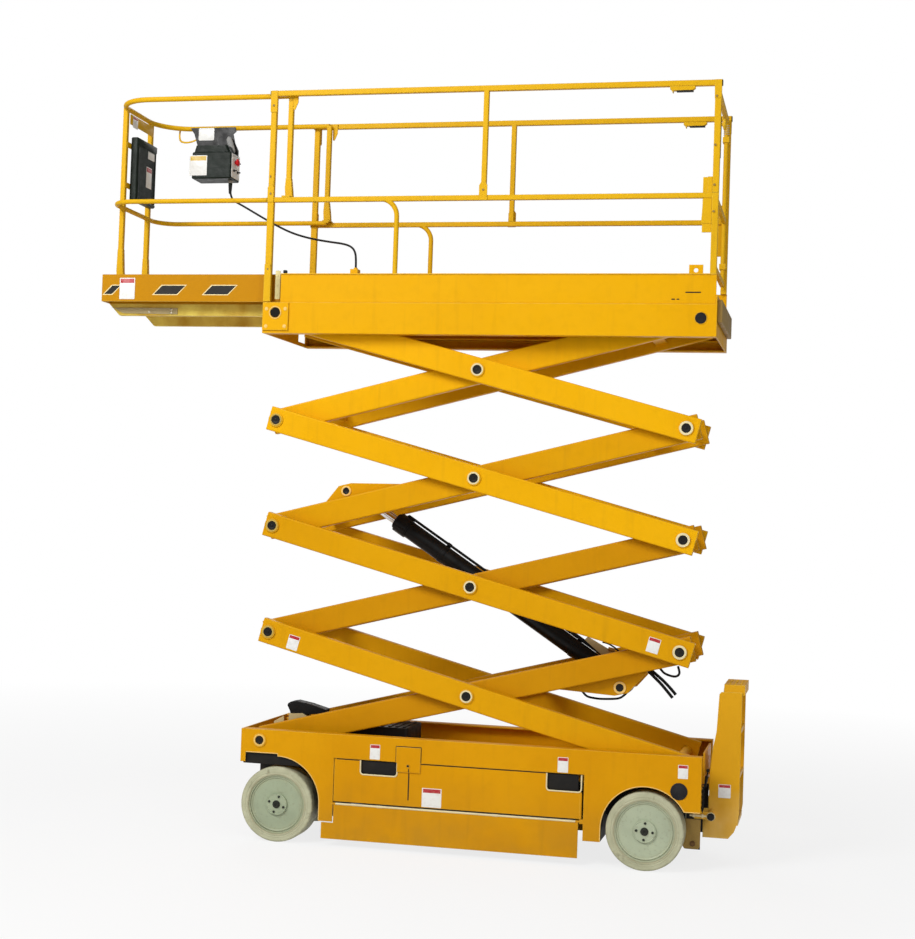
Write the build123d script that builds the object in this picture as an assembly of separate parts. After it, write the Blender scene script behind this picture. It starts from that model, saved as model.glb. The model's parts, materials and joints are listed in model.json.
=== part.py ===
from build123d import *
import os
from math import asin, atan, atan2, cos, degrees, hypot, pi, radians, sin, tan

os.makedirs("parts", exist_ok=True)

# Self-propelled electric scissor lift with four scissor stages and a roll-out deck.
# Millimetres. +X is forward (the steered end), +Y is the machine's left, +Z is up.
# The origin is on the floor, midway between the extension's front and the ladder's back.

# ---- driving dimensions -------------------------------------------------------------
wheel_base = 1870.0             # front axle to rear axle
tyre_radius = 190.0
tyre_width = 130.0
machine_width = 760.0           # over the chassis sides and over the platform sides
sheet = 6.0                     # side plates of chassis and platform
plate = 8.0                     # floors, flanges and end plates
ladder_behind = 450.0           # rear axle back to the ladder's rear face
overhang_deck = 1085.0          # front axle forward to the extension's front face

arm_length = 2178.0             # scissor arm, pin to pin
arm_depth = 125.0
arm_width = 50.0
arm_wall = 6.0
rest_angle = 14.53              # arm above the horizontal, in degrees, as the lift stands
stage_count = 4
arm_front_over = 40.0           # arm past its front pin
arm_rear_over = 60.0            # arm past its rear pin
pivot_ahead = 100.6             # fixed pins ahead of the front axle
pivot_height = 509.3            # chassis pins above the floor
pin_radius = 25.0
boss_radius = 42.0
running = 0.05                  # radial clearance of a pin in its bore
clear = 6.0                     # clearance between pieces that pass each other
seat = 0.3                      # gap between a piece and what it rests on
side_gap = 10.0                 # between inner and outer arms
arm_inset = 70.0                # machine side to the outer arm's face
roller_radius = 45.0
roller_width = 46.0
roller_play = 1.0

# ---- derived places -----------------------------------------------------------------
x_front = (wheel_base + ladder_behind - overhang_deck) / 2  # front axle
x_rear = x_front - wheel_base                           # rear axle
x_tip = x_front + overhang_deck                         # extension's front face
x_ladder = x_rear - ladder_behind                       # ladder's rear face
x_pivot = x_front + pivot_ahead                         # fixed front pins
y_side = machine_width / 2
y_outer = y_side - arm_inset                            # outer arm's outer face
y_inner = y_outer - arm_width - side_gap                # inner arm's outer face
y_between = y_inner - arm_width                         # inner arm's inner face
stage_rise = arm_length * sin(radians(rest_angle))
stage_run = arm_length * cos(radians(rest_angle))
platform_pivot = pivot_height + stage_count * stage_rise
SIDES = (("left", 1), ("right", -1))


# ---- small builders -----------------------------------------------------------------
def block(x0, x1, y0, y1, z0, z1):
    """Box between two corners."""
    return Pos((x0 + x1) / 2, (y0 + y1) / 2, (z0 + z1) / 2) * Box(
        abs(x1 - x0), abs(y1 - y0), abs(z1 - z0))


def bar(x0, x1, y0, y1, z0, z1, corner=4.0):
    """Box with its long edges rounded, as a rolled square tube is."""
    body = block(x0, x1, y0, y1, z0, z1)
    spans = {Axis.X: abs(x1 - x0), Axis.Y: abs(y1 - y0), Axis.Z: abs(z1 - z0)}
    long_axis = max(spans, key=spans.get)
    return fillet(body.edges().filter_by(long_axis), corner)


def shaft_y(x, z, radius, y0, y1):
    """Round bar along Y."""
    return Pos(x, (y0 + y1) / 2, z) * Rot(90, 0, 0) * Cylinder(radius, abs(y1 - y0))


def shaft_x(y, z, radius, x0, x1):
    """Round bar along X."""
    return Pos((x0 + x1) / 2, y, z) * Rot(0, 90, 0) * Cylinder(radius, abs(x1 - x0))


def shaft_z(x, y, radius, z0, z1):
    """Round bar along Z."""
    return Pos(x, y, (z0 + z1) / 2) * Cylinder(radius, abs(z1 - z0))


def side_plate(points, y0, y1):
    """Plate outlined in X and Z, between two Y planes."""
    face = Plane.XZ * make_face(Polyline(*points, close=True))
    low, high = min(y0, y1), max(y0, y1)
    return Pos(0, high, 0) * extrude(face, high - low)


def mirrored(shape):
    """The same piece on the machine's other side."""
    return shape.mirror(Plane.XZ)


def save(name, *shapes):
    """Writes one node; its solids stay apart."""
    solids = [solid for shape in shapes for solid in shape.solids()]
    body = solids[0] if len(solids) == 1 else Compound(children=solids)
    export_step(body, f"parts/{name}.step")


# ---- chassis ------------------------------------------------------------------------
chassis_front = x_front + 200.0
chassis_rear = x_rear - 266.0
rail_half = roller_radius + roller_play                 # roller track, half its height
rail_top = pivot_height + rail_half + plate
rail_bottom = pivot_height - rail_half - plate
rail_depth = 60.0                                       # track channel, across the machine
track_in = y_side - rail_depth
track_out = y_side - sheet - seat
tub_floor = pivot_height - hypot(arm_rear_over, arm_depth / 2) - 13.0
tub_under = tub_floor - plate
arch_front = 226.0
arch_front_drop = 208.0                                 # height of the front arch's centre
arch_rear = 216.0
pillar = 72.0                                           # pillar beside a wheel, along the machine
sill = 124.0                                            # underside of the pillars
nose_low = 396.0                                        # underside of the chassis ahead of the wheels
door_front = x_front - 298.0
door_rear = x_rear + 310.0
door_low = 228.0
door_high = 441.0
door_gap = 3.0
door_pin = 3.0
door_knuckle = 6.0
hinge_top = 350.0                                       # the hinge ends below the rear hand recess
bay_floor = 240.0
rear_panel_end = x_rear + 215.0
tail_height = 297.0                                     # underside of the rear corner
axle_z = tyre_radius
axle_half = 40.0                                        # axle beam, half its square
tyre_outer = y_side - 2.0
tyre_inner = tyre_outer - tyre_width
kingpin_inset = 102.0                                   # tyre's outer face to the kingpin
kingpin_y = tyre_outer - kingpin_inset
bulkhead_front = x_front - arch_front
bulkhead_rear = rear_panel_end
guard_hinge = 215.0                                     # height of the pothole guards' rods
guard_rod = 5.0
hinge_x = door_rear + 4.0                               # tray doors' hinge pins
hinge_y = y_side - 5.0
lug_end = door_rear + 8.0                               # front face of the lower hinge lug


def chassis_skin():
    """Left side plate: two wheel arches, the door opening, hinge pin and hinge lugs."""
    y0, y1 = y_side - sheet, y_side
    skin = block(chassis_rear, chassis_front - 26, y0, y1, sill, rail_top)
    skin += block(chassis_front - 26, chassis_front, y0, y1, nose_low, rail_top)
    skin -= block(x_front, chassis_front - 26, y0 - 1, y1 + 1, sill - 1, 446.0)
    skin -= block(x_front - arch_front, x_front, y0 - 1, y1 + 1, sill - 1, arch_front_drop)
    skin -= shaft_y(x_front, arch_front_drop, arch_front, y0 - 1, y1 + 1)
    skin -= block(door_rear - 10, door_front, y0 - 1, y1 + 1, sill - 1, door_high + door_gap)
    skin -= shaft_y(x_rear, axle_z, arch_rear, y0 - 1, y1 + 1)
    skin -= block(chassis_rear - 1, rear_panel_end, y0 - 1, y1 + 1, sill - 1, axle_z)
    skin -= block(chassis_rear - 1, x_rear, y0 - 1, y1 + 1, sill - 1, tail_height)
    skin -= shaft_y(x_pivot, pivot_height, pin_radius + running, y0 - 1, y1 + 1)
    rod_y = y_side - 6.0
    for x0, x1, z1 in ((door_rear - 11, lug_end, door_low - 2), (door_front - 1, door_front + 14, guard_hinge + 10)):
        skin += block(x0, x1, rod_y - 8, y1, guard_hinge - 10, z1)
    skin -= shaft_x(rod_y, guard_hinge, guard_rod + running, door_rear - 4, door_front + 12)
    skin += shaft_z(hinge_x, hinge_y, door_pin - running, door_low - 7, hinge_top - 2)
    return skin


def chassis_track():
    """Left roller track: a channel open towards the middle, with its pin boss and end plates."""
    track = block(chassis_rear, chassis_front, track_in, track_out, rail_top - plate, rail_top)
    track += block(chassis_rear, chassis_front, track_in, track_out, rail_bottom, rail_bottom + plate)
    track += block(chassis_rear, chassis_rear + plate, track_in, track_out, tail_height, rail_top)
    track += block(chassis_front - sheet, chassis_front, track_in, track_out, nose_low, rail_top)
    track += block(chassis_rear, chassis_front, track_in, track_in + sheet, tub_under, rail_bottom + 1)
    track += shaft_y(x_pivot, pivot_height, boss_radius, y_outer + clear, track_out)
    return track - shaft_y(x_pivot, pivot_height, pin_radius + running, y_outer, y_side)


skin, track = chassis_skin(), chassis_track()
save("chassis_skins", skin, mirrored(skin))
save("chassis_tracks", track, mirrored(track))

y_tub = track_in - seat
tub = block(chassis_rear, chassis_front, -y_tub, y_tub, tub_under, tub_floor)
tub += block(chassis_front - sheet, chassis_front, -y_tub, y_tub, nose_low, rail_top)
tub += block(chassis_rear, chassis_rear + plate, -y_between, y_between, tub_under, rail_top)
save("chassis_tub", tub)

bay_top = tub_under - seat
bay_front, bay_rear = bulkhead_front - pillar, bulkhead_rear + pillar
y_bay = y_side - 16.0                                   # bay floor stops behind the doors
tail_plate = 244.0                                      # outer face of the plates that carry the ladder
bays = [block(bulkhead_front - plate, bulkhead_front, -track_out, track_out, sill, bay_top),
        block(bay_front, bay_front + plate, -track_out, track_out, bay_floor + seat, bay_top),
        block(bulkhead_rear, bulkhead_rear + plate, -track_out, track_out, sill, bay_top),
        block(bay_rear - plate, bay_rear, -track_out, track_out, sill, bay_top),
        block(bay_rear + seat, bulkhead_front - plate - seat, -y_bay, y_bay, bay_floor - plate, bay_floor),
        block(x_front - 90, x_front + 90, -100, 100, axle_z + axle_half, bay_top),
        block(x_rear - 90, x_rear + 90, -200, 200, axle_z + axle_half, bay_top)]
for side, sign in SIDES:
    bays.append(block(bay_rear + seat, bay_front - seat, sign * 104, sign * 112, bay_floor + seat, bay_top))
    bays.append(block(chassis_rear + plate + seat, chassis_rear + 78, sign * (tail_plate - plate), sign * tail_plate,
                      99.0, bay_top))
save("chassis_bays", *bays)

pins = []
for side, sign in SIDES:
    pin = shaft_y(x_pivot, pivot_height, pin_radius, sign * (y_between - 8), sign * (y_side + seat))
    pin += shaft_y(x_pivot, pivot_height, pin_radius + 10, sign * (y_side + seat), sign * (y_side + 5))
    pins.append(pin)
save("chassis_pivot_pins", *pins)

# ---- axles, steering and wheels -----------------------------------------------------
spindle_radius = 28.0
hub_outer = 55.0
rim_inner = 140.0
rim_outer = 148.0
kingpin_radius = 18.0
kingpin_half = 78.0                                     # kingpin, half its length
fork_height = 50.0                                      # axle end, between the knuckle's ears
arm_back = 100.0                                        # knuckle arm, behind the kingpin
arm_inboard = 70.0                                      # knuckle arm, inboard of the kingpin
arm_low = axle_z - fork_height / 2 - 34.5               # underside of the knuckle arms
tie_z = arm_low - 19.0
ball_stud = 8.0
tie_radius = 12.0

beam = block(x_front - axle_half, x_front + axle_half, -kingpin_y + 70, kingpin_y - 70,
             axle_z - axle_half, axle_z + axle_half)
for side, sign in SIDES:
    eye = shaft_z(x_front, sign * kingpin_y, 30.0, axle_z - fork_height / 2, axle_z + fork_height / 2)
    eye += block(x_front - 26, x_front + 26, sign * (kingpin_y - 80), sign * kingpin_y,
                 axle_z - fork_height / 2, axle_z + fork_height / 2)
    eye -= shaft_z(x_front, sign * kingpin_y, kingpin_radius + running, 0, 2 * axle_z)
    beam += eye
save("front_axle", beam)

beam = block(x_rear - axle_half, x_rear + axle_half, -tyre_inner + 8, tyre_inner - 8,
             axle_z - axle_half, axle_z + axle_half)
for side, sign in SIDES:
    beam += shaft_y(x_rear, axle_z, spindle_radius, sign * (tyre_inner - 12), sign * (tyre_outer - 25))
save("rear_axle", beam)

ear = 14.0
for side, sign in SIDES:
    y_king = sign * kingpin_y
    ear_low = axle_z - fork_height / 2 - 0.5
    ear_high = axle_z + fork_height / 2 + 0.5
    knuckle = shaft_z(x_front, y_king, kingpin_radius, ear_low - ear - 6, ear_high + ear + 6)
    for z0, z1 in ((ear_low - ear, ear_low), (ear_high, ear_high + ear)):
        knuckle += shaft_z(x_front, y_king, 30.0, z0, z1)
        knuckle += block(x_front - 30, x_front + 30, y_king, y_king + sign * 44, z0, z1)
    knuckle += block(x_front - 30, x_front + 30, y_king + sign * 32, y_king + sign * 44,
                     ear_low - ear, ear_high + ear)
    knuckle += shaft_y(x_front, axle_z, spindle_radius, y_king + sign * 40, sign * (tyre_outer - 25))
    knuckle += shaft_z(x_front, y_king, 24.0, arm_low, ear_low - ear + 1)
    steer = Pos(x_front - arm_back / 2, y_king - sign * arm_inboard / 2, arm_low + 5) * Rot(
        0, 0, degrees(atan2(sign * arm_inboard, arm_back))) * Box(hypot(arm_back, arm_inboard), 26, 10)
    steer += shaft_z(x_front - arm_back, y_king - sign * arm_inboard, 17.0, arm_low, arm_low + 10)
    if side == "left":
        steer += shaft_z(x_front - arm_back, y_king - sign * arm_inboard, ball_stud, tie_z - 16, arm_low + 1)
    knuckle += steer
    save(f"steering_knuckle_{side}", knuckle)

y_tie = kingpin_y - arm_inboard
rod = shaft_y(x_front - arm_back, tie_z, tie_radius, -y_tie + 12, y_tie - 12)
for side, sign in SIDES:
    rod += shaft_z(x_front - arm_back, sign * y_tie, 17.0, tie_z - 14, tie_z + 14)
rod -= shaft_z(x_front - arm_back, y_tie, ball_stud + running, tie_z - 20, tie_z + 20)
rod += shaft_z(x_front - arm_back, -y_tie, ball_stud, tie_z, arm_low - seat)
save("tie_rod", rod)


def tyre_profile(x, sign):
    """Solid tyre on its rim band, a ring with rounded shoulders."""
    y0, y1 = sign * tyre_inner, sign * tyre_outer
    ring = shaft_y(x, axle_z, tyre_radius, y0, y1)
    ring = fillet(ring.edges().filter_by(GeomType.CIRCLE), 10.0)
    return ring - shaft_y(x, axle_z, rim_outer, y0 - 1, y1 + 1) - shaft_y(x, axle_z, rim_outer, y1 - 1, y0 + 1)


def wheel_disc(x, sign):
    """Pressed wheel: rim band, dished face and hub, bored for its spindle."""
    y0, y1 = sign * tyre_inner, sign * tyre_outer
    face = y1 - sign * 12
    disc = shaft_y(x, axle_z, rim_outer - 0.2, y0, y1 - sign * 4)
    disc -= shaft_y(x, axle_z, rim_inner, y0 - sign, face - sign * 10)
    disc -= shaft_y(x, axle_z, rim_inner, face, y1)
    disc += shaft_y(x, axle_z, hub_outer, y1 - sign * 52, y1 - sign * 2)
    disc -= shaft_y(x, axle_z, spindle_radius + running, y0 - sign, y1 - sign * 22)
    return disc


for end, x in (("front", x_front), ("rear", x_rear)):
    for side, sign in SIDES:
        save(f"tyre_{end}_{side}", tyre_profile(x, sign))
        save(f"wheel_{end}_{side}", wheel_disc(x, sign))

# ---- bays: batteries, power unit, doors and pothole guards ------------------------------
pack_top = tub_under - 12.0
packs = [block(door_front - 560, door_front - 60, 124, y_side - 60, bay_floor, pack_top),
         block(door_front - 1100, door_front - 600, 124, y_side - 60, bay_floor, pack_top),
         block(door_front - 700, door_front - 120, -124, -y_side + 60, bay_floor, pack_top),
         block(door_front - 1050, door_front - 740, -124, -y_side + 60, bay_floor, pack_top - 20)]
save("power_packs", *packs)

guard_low = 37.0
guard_front = bulkhead_front - plate - clear
guard_notch = door_front - 4.0                          # the guard's top ends behind the pillar
guard_rear = lug_end + clear
recess_low = 371.0                                      # hand recesses in the door's top edge
rear_recess_low = hinge_top + 7.0
latch_x = x_front - 684.5
for side, sign in SIDES:
    y0, y1 = sign * (y_side - 9), sign * (y_side - 1)
    door = block(door_rear, door_front - door_gap, y0, y1, door_low, door_high)
    door += shaft_z(hinge_x, sign * hinge_y, door_knuckle, door_low, hinge_top)
    door += block(latch_x - 63, latch_x + 63, y0, sign * (y_side + 5), door_high - 45, door_high)
    door += block(latch_x - 63, latch_x + 63, sign * (y_side + seat), sign * (y_side + 5), door_high - 1, door_high + 80)
    door -= block(x_front - 627, x_front - 438, y0 * 2, y1 / 2, recess_low, door_high + 1)
    door -= block(door_rear - 40, door_rear + 174, y0 * 2, y1 / 2, rear_recess_low, door_high + 1)
    door -= shaft_z(hinge_x, sign * hinge_y, door_pin, door_low - 1, hinge_top + 1)
    save(f"tray_door_{side}", door)
    guard = block(guard_rear, guard_notch, y0, y1 - sign * 3, guard_low, guard_hinge)
    guard += block(guard_notch - 1, guard_front, y0, y1 - sign * 3, guard_low, sill - clear)
    guard += shaft_x(sign * (y_side - 6), guard_hinge, guard_rod, door_rear - 3, door_front + 11)
    save(f"pothole_guard_{side}", guard)

# ---- ladder -------------------------------------------------------------------------
ladder_half = 170.0
ladder_sheet = 8.0
ladder_foot = 148.0
ladder_top = 862.0
ladder_front = chassis_rear - 23.0
foot_front = ladder_front + 26.0                        # the side plates widen at the foot
foot_top = 290.0
plate_rear = x_ladder + 13.0                            # the top step overhangs the side plates
outline = [(foot_front, ladder_foot), (foot_front, foot_top), (ladder_front, foot_top), (ladder_front, 448.0),
           (ladder_front - 13, 586.0), (ladder_front - 28, 667.0), (ladder_front - 37, ladder_top - 11),
           (ladder_front - 47, ladder_top), (plate_rear, ladder_top), (plate_rear, 270.0),
           (plate_rear + 6, 228.0), (plate_rear + 22, 182.0), (plate_rear + 50, ladder_foot)]
ladder = side_plate(outline, ladder_half - ladder_sheet, ladder_half)
ladder += mirrored(ladder)
tread_low, tread_rise, tread_depth = 215.0, 220.0, 24.0
for k in range(3):
    z = tread_low + k * tread_rise
    ladder += block(plate_rear + 4, plate_rear + 104, -ladder_half + 1, ladder_half - 1, z, z + tread_depth)
step_top = 899.0                                        # top step, a folded cap that stands above the plates
ladder += block(x_ladder, x_ladder + 102, -ladder_half + ladder_sheet - 1, ladder_half - ladder_sheet + 1,
                step_top - 49, step_top)
lug_low, lug_high = 250.0, 286.0
stay_low, stay_high = 410.0, 440.0
for side, sign in SIDES:
    y_lug = sign * (tail_plate + seat)                  # lugs lie along the chassis tail plates
    ladder += block(ladder_front - 21, chassis_rear + 40, y_lug, y_lug + sign * 8, lug_low, lug_high)
    ladder += block(ladder_front - 21, ladder_front - 6, y_lug, sign * (ladder_half - 7), lug_low, lug_high)
    ladder += block(ladder_front - 21, chassis_rear - seat, sign * (ladder_half - 19), sign * (ladder_half - 7),
                    stay_low, stay_high)
save("ladder", ladder)


# ---- scissor arms -------------------------------------------------------------------
def arm_bar(y_face, sign):
    """Hollow arm along -X from its front pin at the origin, with three bushed bores."""
    y0, y1 = sign * (y_face - arm_width), sign * y_face
    low, high = min(y0, y1), max(y0, y1)
    x0, x1 = -arm_length - arm_rear_over, arm_front_over
    tube = block(x0, x1, low, high, -arm_depth / 2, arm_depth / 2)
    tube = fillet(tube.edges().filter_by(Axis.X), 8.0)
    tube -= block(x0 - 1, x1 + 1, low + arm_wall, high - arm_wall,
                  -arm_depth / 2 + arm_wall, arm_depth / 2 - arm_wall)
    for x in (0, -arm_length / 2, -arm_length):
        tube += shaft_y(x, 0, boss_radius, low, high)
        tube -= shaft_y(x, 0, pin_radius + running, low - 1, high + 1)
    return tube


def placed(shape, level, turn):
    """Turns a piece drawn along -X about its front pin and sets it on a pin level."""
    return Pos(x_pivot, 0, pivot_height + level * stage_rise) * Rot(0, turn, 0) * shape


# cylinder pins, measured along the arm from its front pin and across it
base_along, base_below = 1837.0, 116.0
eye_along, eye_above = 393.0, 96.3
cross_pin = 22.0
ear_plate = 12.0
ear_outer = y_between - clear
eye_half = 45.0
eye_play = 5.0
beam_inset = 200.0
beam_half = 30.0
lower_beam = base_along - 457.0                         # first stage's rear beam, ahead of the cylinder


def ears(along, across, foot_front, foot_back, pin_gap):
    """Pair of cylinder ears on the inner arms' inner faces, with their cross pin."""
    pieces = None
    up = 1 if across > 0 else -1
    root = up * (arm_depth / 2 - 20)
    tip = across + up * 34
    for sign in (1, -1):
        y0, y1 = sign * (ear_outer - ear_plate), sign * ear_outer
        heel = root - up * 30
        outline = [(-along - foot_back, heel), (-along - foot_back, root), (-along - 34, tip), (-along + 34, tip),
                   (-along + foot_front, root), (-along + foot_front, heel)]
        plate_piece = side_plate(outline, y0, y1)
        plate_piece += block(-along - foot_back, -along + foot_front, y1 - sign, sign * y_between, heel, root)
        inner_end = sign * pin_gap
        plate_piece += shaft_y(-along, across, cross_pin, inner_end, sign * (ear_outer + 3))
        pieces = plate_piece if pieces is None else pieces + plate_piece
    return pieces


for n in range(1, stage_count + 1):
    left, right = arm_bar(y_inner, 1), arm_bar(y_inner, -1)
    save(f"inner_arms_{n}", placed(left, n - 1, rest_angle), placed(right, n - 1, rest_angle))
    beams = []
    for x in (-beam_inset, -lower_beam if n == 1 else -arm_length + beam_inset):
        beams.append(block(x - beam_half, x + beam_half, -y_between, y_between, -beam_half, beam_half))
    if n == 1:
        beams.append(ears(base_along, -base_below, 370.0, 190.0, 0.0))
    if n == 3:
        beams.append(ears(eye_along, eye_above, 150.0, 390.0, eye_half + eye_play))
    save(f"cross_beams_{n}", *[placed(piece, n - 1, rest_angle) for piece in beams])

    left, right = arm_bar(y_outer, 1), arm_bar(y_outer, -1)
    save(f"outer_arms_{n}", placed(left, n, -rest_angle), placed(right, n, -rest_angle))
    y_cap = y_outer + 6
    pins = []
    for sign in (1, -1):
        stub = shaft_y(-arm_length / 2, 0, pin_radius, sign * (y_between - 6), sign * y_cap)
        stub += shaft_y(-arm_length / 2, 0, pin_radius + 12, sign * (y_outer + 0.3), sign * y_cap)
        pins.append(stub)
    if n < stage_count:
        front = shaft_y(0, 0, pin_radius, -y_cap, y_cap)
        for sign in (1, -1):
            front += shaft_y(0, 0, pin_radius + 12, sign * (y_outer + 0.3), sign * y_cap)
        pins.append(front)
    if n == 1:
        reach = y_side - sheet - 6
        rear = shaft_y(-arm_length, 0, pin_radius, -reach, reach)
        for sign in (1, -1):
            rear += shaft_y(-arm_length, 0, roller_radius, sign * (reach - roller_width), sign * reach)
    else:
        rear = shaft_y(-arm_length, 0, pin_radius, -y_cap, y_cap)
        for sign in (1, -1):
            rear += shaft_y(-arm_length, 0, pin_radius + 12, sign * (y_outer + 0.3), sign * y_cap)
    pins.append(rear)
    save(f"arm_pins_{n}", *[placed(piece, n, -rest_angle) for piece in pins])

reach = y_side - sheet - 6
rollers = shaft_y(-arm_length, 0, pin_radius, -reach, reach)
for sign in (1, -1):
    rollers += shaft_y(-arm_length, 0, roller_radius, sign * (reach - roller_width), sign * reach)
save("platform_rollers", placed(rollers, stage_count - 1, rest_angle))

# ---- lift cylinder ------------------------------------------------------------------
tilt = radians(rest_angle)
base_x = x_pivot - (base_along * cos(tilt) + base_below * sin(tilt))
base_z = pivot_height + base_along * sin(tilt) - base_below * cos(tilt)
eye_x = x_pivot - (eye_along * cos(tilt) - eye_above * sin(tilt))
eye_z = pivot_height + 2 * stage_rise + eye_along * sin(tilt) + eye_above * cos(tilt)
pin_distance = hypot(eye_x - base_x, eye_z - base_z)
cylinder_angle = degrees(atan2(eye_z - base_z, eye_x - base_x))
barrel_radius = 46.0
barrel_bore = 36.0
barrel_top = 1450.0                                     # base pin to the barrel's mouth
rod_radius = 24.0
eye_radius = 36.0


def on_cylinder(shape):
    """Sets a piece drawn along +X from the base pin on the cylinder's line."""
    return Pos(base_x, 0, base_z) * Rot(0, -cylinder_angle, 0) * shape


barrel = shaft_x(0, 0, barrel_radius, 40, barrel_top)
barrel += shaft_x(0, 0, barrel_radius + 6, barrel_top - 70, barrel_top)
barrel += shaft_y(0, 0, 46.0, -eye_half, eye_half)
barrel -= shaft_y(0, 0, cross_pin + running, -60, 60)
barrel -= shaft_x(0, 0, barrel_bore, 80, barrel_top - 60)
barrel -= shaft_x(0, 0, rod_radius + running, barrel_top - 80, barrel_top + 1)
pipe = shaft_x(0, barrel_radius + 12, 7.0, 120, barrel_top - 30)
pipe += shaft_z(120, 0, 7.0, barrel_radius - 4, barrel_radius + 12)
pipe += shaft_z(barrel_top - 30, 0, 7.0, barrel_radius - 4, barrel_radius + 12)
save("cylinder_barrel", on_cylinder(barrel + pipe))

piston_at = 400.0
rod = shaft_x(0, 0, rod_radius, piston_at, pin_distance - 20)
rod += shaft_x(0, 0, barrel_bore - running, piston_at - 60, piston_at)
rod += shaft_y(pin_distance, 0, eye_radius, -eye_half, eye_half)
rod -= shaft_y(pin_distance, 0, cross_pin + running, -60, 60)
save("cylinder_rod", on_cylinder(rod))

# ---- platform -----------------------------------------------------------------------
p_front = x_front + 170.5
p_rear = x_front - 2145.0
p_low = platform_pivot - 105.0
p_crease = platform_pivot + 53.0                        # top of the frame's side band
p_track = platform_pivot + rail_half + plate            # top of the roller track, floor of the side trough
p_deck_under = platform_pivot + 92.0
p_deck = p_deck_under + plate
toe_top = platform_pivot + 203.0
toe_in = 6.0                                            # toe board set in from the frame's side
toe_inner = y_side - toe_in - sheet                     # toe boards' inner faces
e_deck_under = p_deck + clear                           # roll-out deck's underside
slide_y0, slide_y1 = 215.0, 245.0                       # roll-out deck's slide bars
slide_top = p_deck_under - clear

half = block(p_rear, p_front, y_side - sheet, y_side, p_low, p_crease)
half += block(p_rear, p_front, y_side - rail_depth, y_side - 1, p_low, p_low + plate)
z = platform_pivot - rail_half - plate
half += block(p_rear, p_front - 330, y_side - rail_depth, y_side - 1, z, z + plate)
half += block(p_rear, p_front, y_side - rail_depth, y_side - 1, platform_pivot + rail_half, p_track)
half += block(p_rear, p_front, y_side - rail_depth, y_side - rail_depth + sheet, p_track - 1, p_deck)
half += block(p_front - sheet, p_front, y_side - rail_depth, y_side - 1, p_low, p_track)
half -= shaft_y(x_pivot, platform_pivot, pin_radius + running, y_outer - 5, y_side + 5)
frame = half + mirrored(half)
y_deck = y_side - rail_depth + 1
frame += block(p_rear, p_front, -y_deck, y_deck, p_deck_under, p_deck)
frame += block(p_front - sheet, p_front, -y_side + 1, y_side - 1, p_low, p_low + 20)
frame += block(p_front - sheet, p_front, -y_between + clear, y_between - clear, p_low, p_low + 90)
frame += block(p_rear, p_rear + sheet, -y_side + 1, y_side - 1, p_low, p_deck)
pad_x0, pad_x1 = p_front - 60, p_front - 20
for sign in (1, -1):
    frame += block(p_rear, p_front, sign * 110, sign * 150, p_deck_under - 28, p_deck_under + 1)
    frame += block(pad_x0, pad_x1, sign * 150, sign * 190, p_deck - 1, e_deck_under - seat)
    frame += block(pad_x0, pad_x1, sign * slide_y0, sign * slide_y1, slide_top + seat, p_deck_under + 1)
    for y0, y1 in ((slide_y0 - seat - 10, slide_y0 - seat), (slide_y1 + seat, slide_y1 + seat + 10)):
        frame += block(pad_x0, pad_x1, sign * y0, sign * y1, p_deck_under - 52, p_deck_under + 1)
save("platform_frame", frame)

brackets = []
for side, sign in SIDES:
    y0, y1 = sign * (y_side + 0.3), sign * (y_side + 8)
    bracket = block(x_pivot - 70, x_pivot + 68, y0, y1, p_low + 14, p_crease - 2)
    bracket += shaft_y(x_pivot, platform_pivot, pin_radius, sign * (y_outer - arm_width - 4), sign * (y_side + 11))
    bracket += shaft_y(x_pivot, platform_pivot, boss_radius, sign * (y_outer + clear), sign * (y_side - sheet - 0.3))
    brackets.append(bracket)
save("platform_pivots", *brackets)

boards = []
toe_front = p_front - 90.0
lug_x = x_front - 2038.0
lug_z = platform_pivot + 219.0
lug_bore = 11.0
for side, sign in SIDES:
    y0, y1 = sign * (y_side - toe_in - sheet), sign * (y_side - toe_in)
    board = block(p_rear + sheet + 0.3, toe_front, y0, y1, p_track + 0.3, toe_top)
    board += block(p_rear + sheet + 0.3, toe_front, y0, y1 + sign * 5, toe_top - 5, toe_top)
    board += block(lug_x - 34, lug_x + 34, y0, y1, toe_top - 10, lug_z + 27)
    board -= shaft_y(lug_x, lug_z, lug_bore, y0 * 0.9, y1 * 1.1)
    boards.append(board)
save("toe_boards", *boards)

# ---- guard rails --------------------------------------------------------------------
tube = 28.0
rail_y = y_side - 15.0                                  # middle of the side rails
rail_top_z = platform_pivot + 1137.0
rail_mid_z = platform_pivot + 585.0
post_front_x = p_front - 19.0
rail_front = p_front - 2.0
rail_rear = p_rear + 8.0
grab_x = x_front - 521.0
grab_radius = 90.0


def level_tube(x0, x1, y, z, size=tube):
    return bar(x0, x1, y - size / 2, y + size / 2, z - size / 2, z + size / 2)


def upright(x, y, z0, z1, size=tube, depth=tube):
    return bar(x - size / 2, x + size / 2, y - depth / 2, y + depth / 2, z0, z1)


mid_tube = 26.0                                         # middle rail and middle post
fold_z = rail_mid_z + mid_tube / 2 + seat               # feet of the folding upper half
post_mid_x = x_front - 968.0
post_rear_x = p_rear + 24.0
gusset_x0, gusset_x1 = post_rear_x + 16, post_rear_x + 62
gusset_low, gusset_high = rail_mid_z - 180, rail_mid_z + 90


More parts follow.
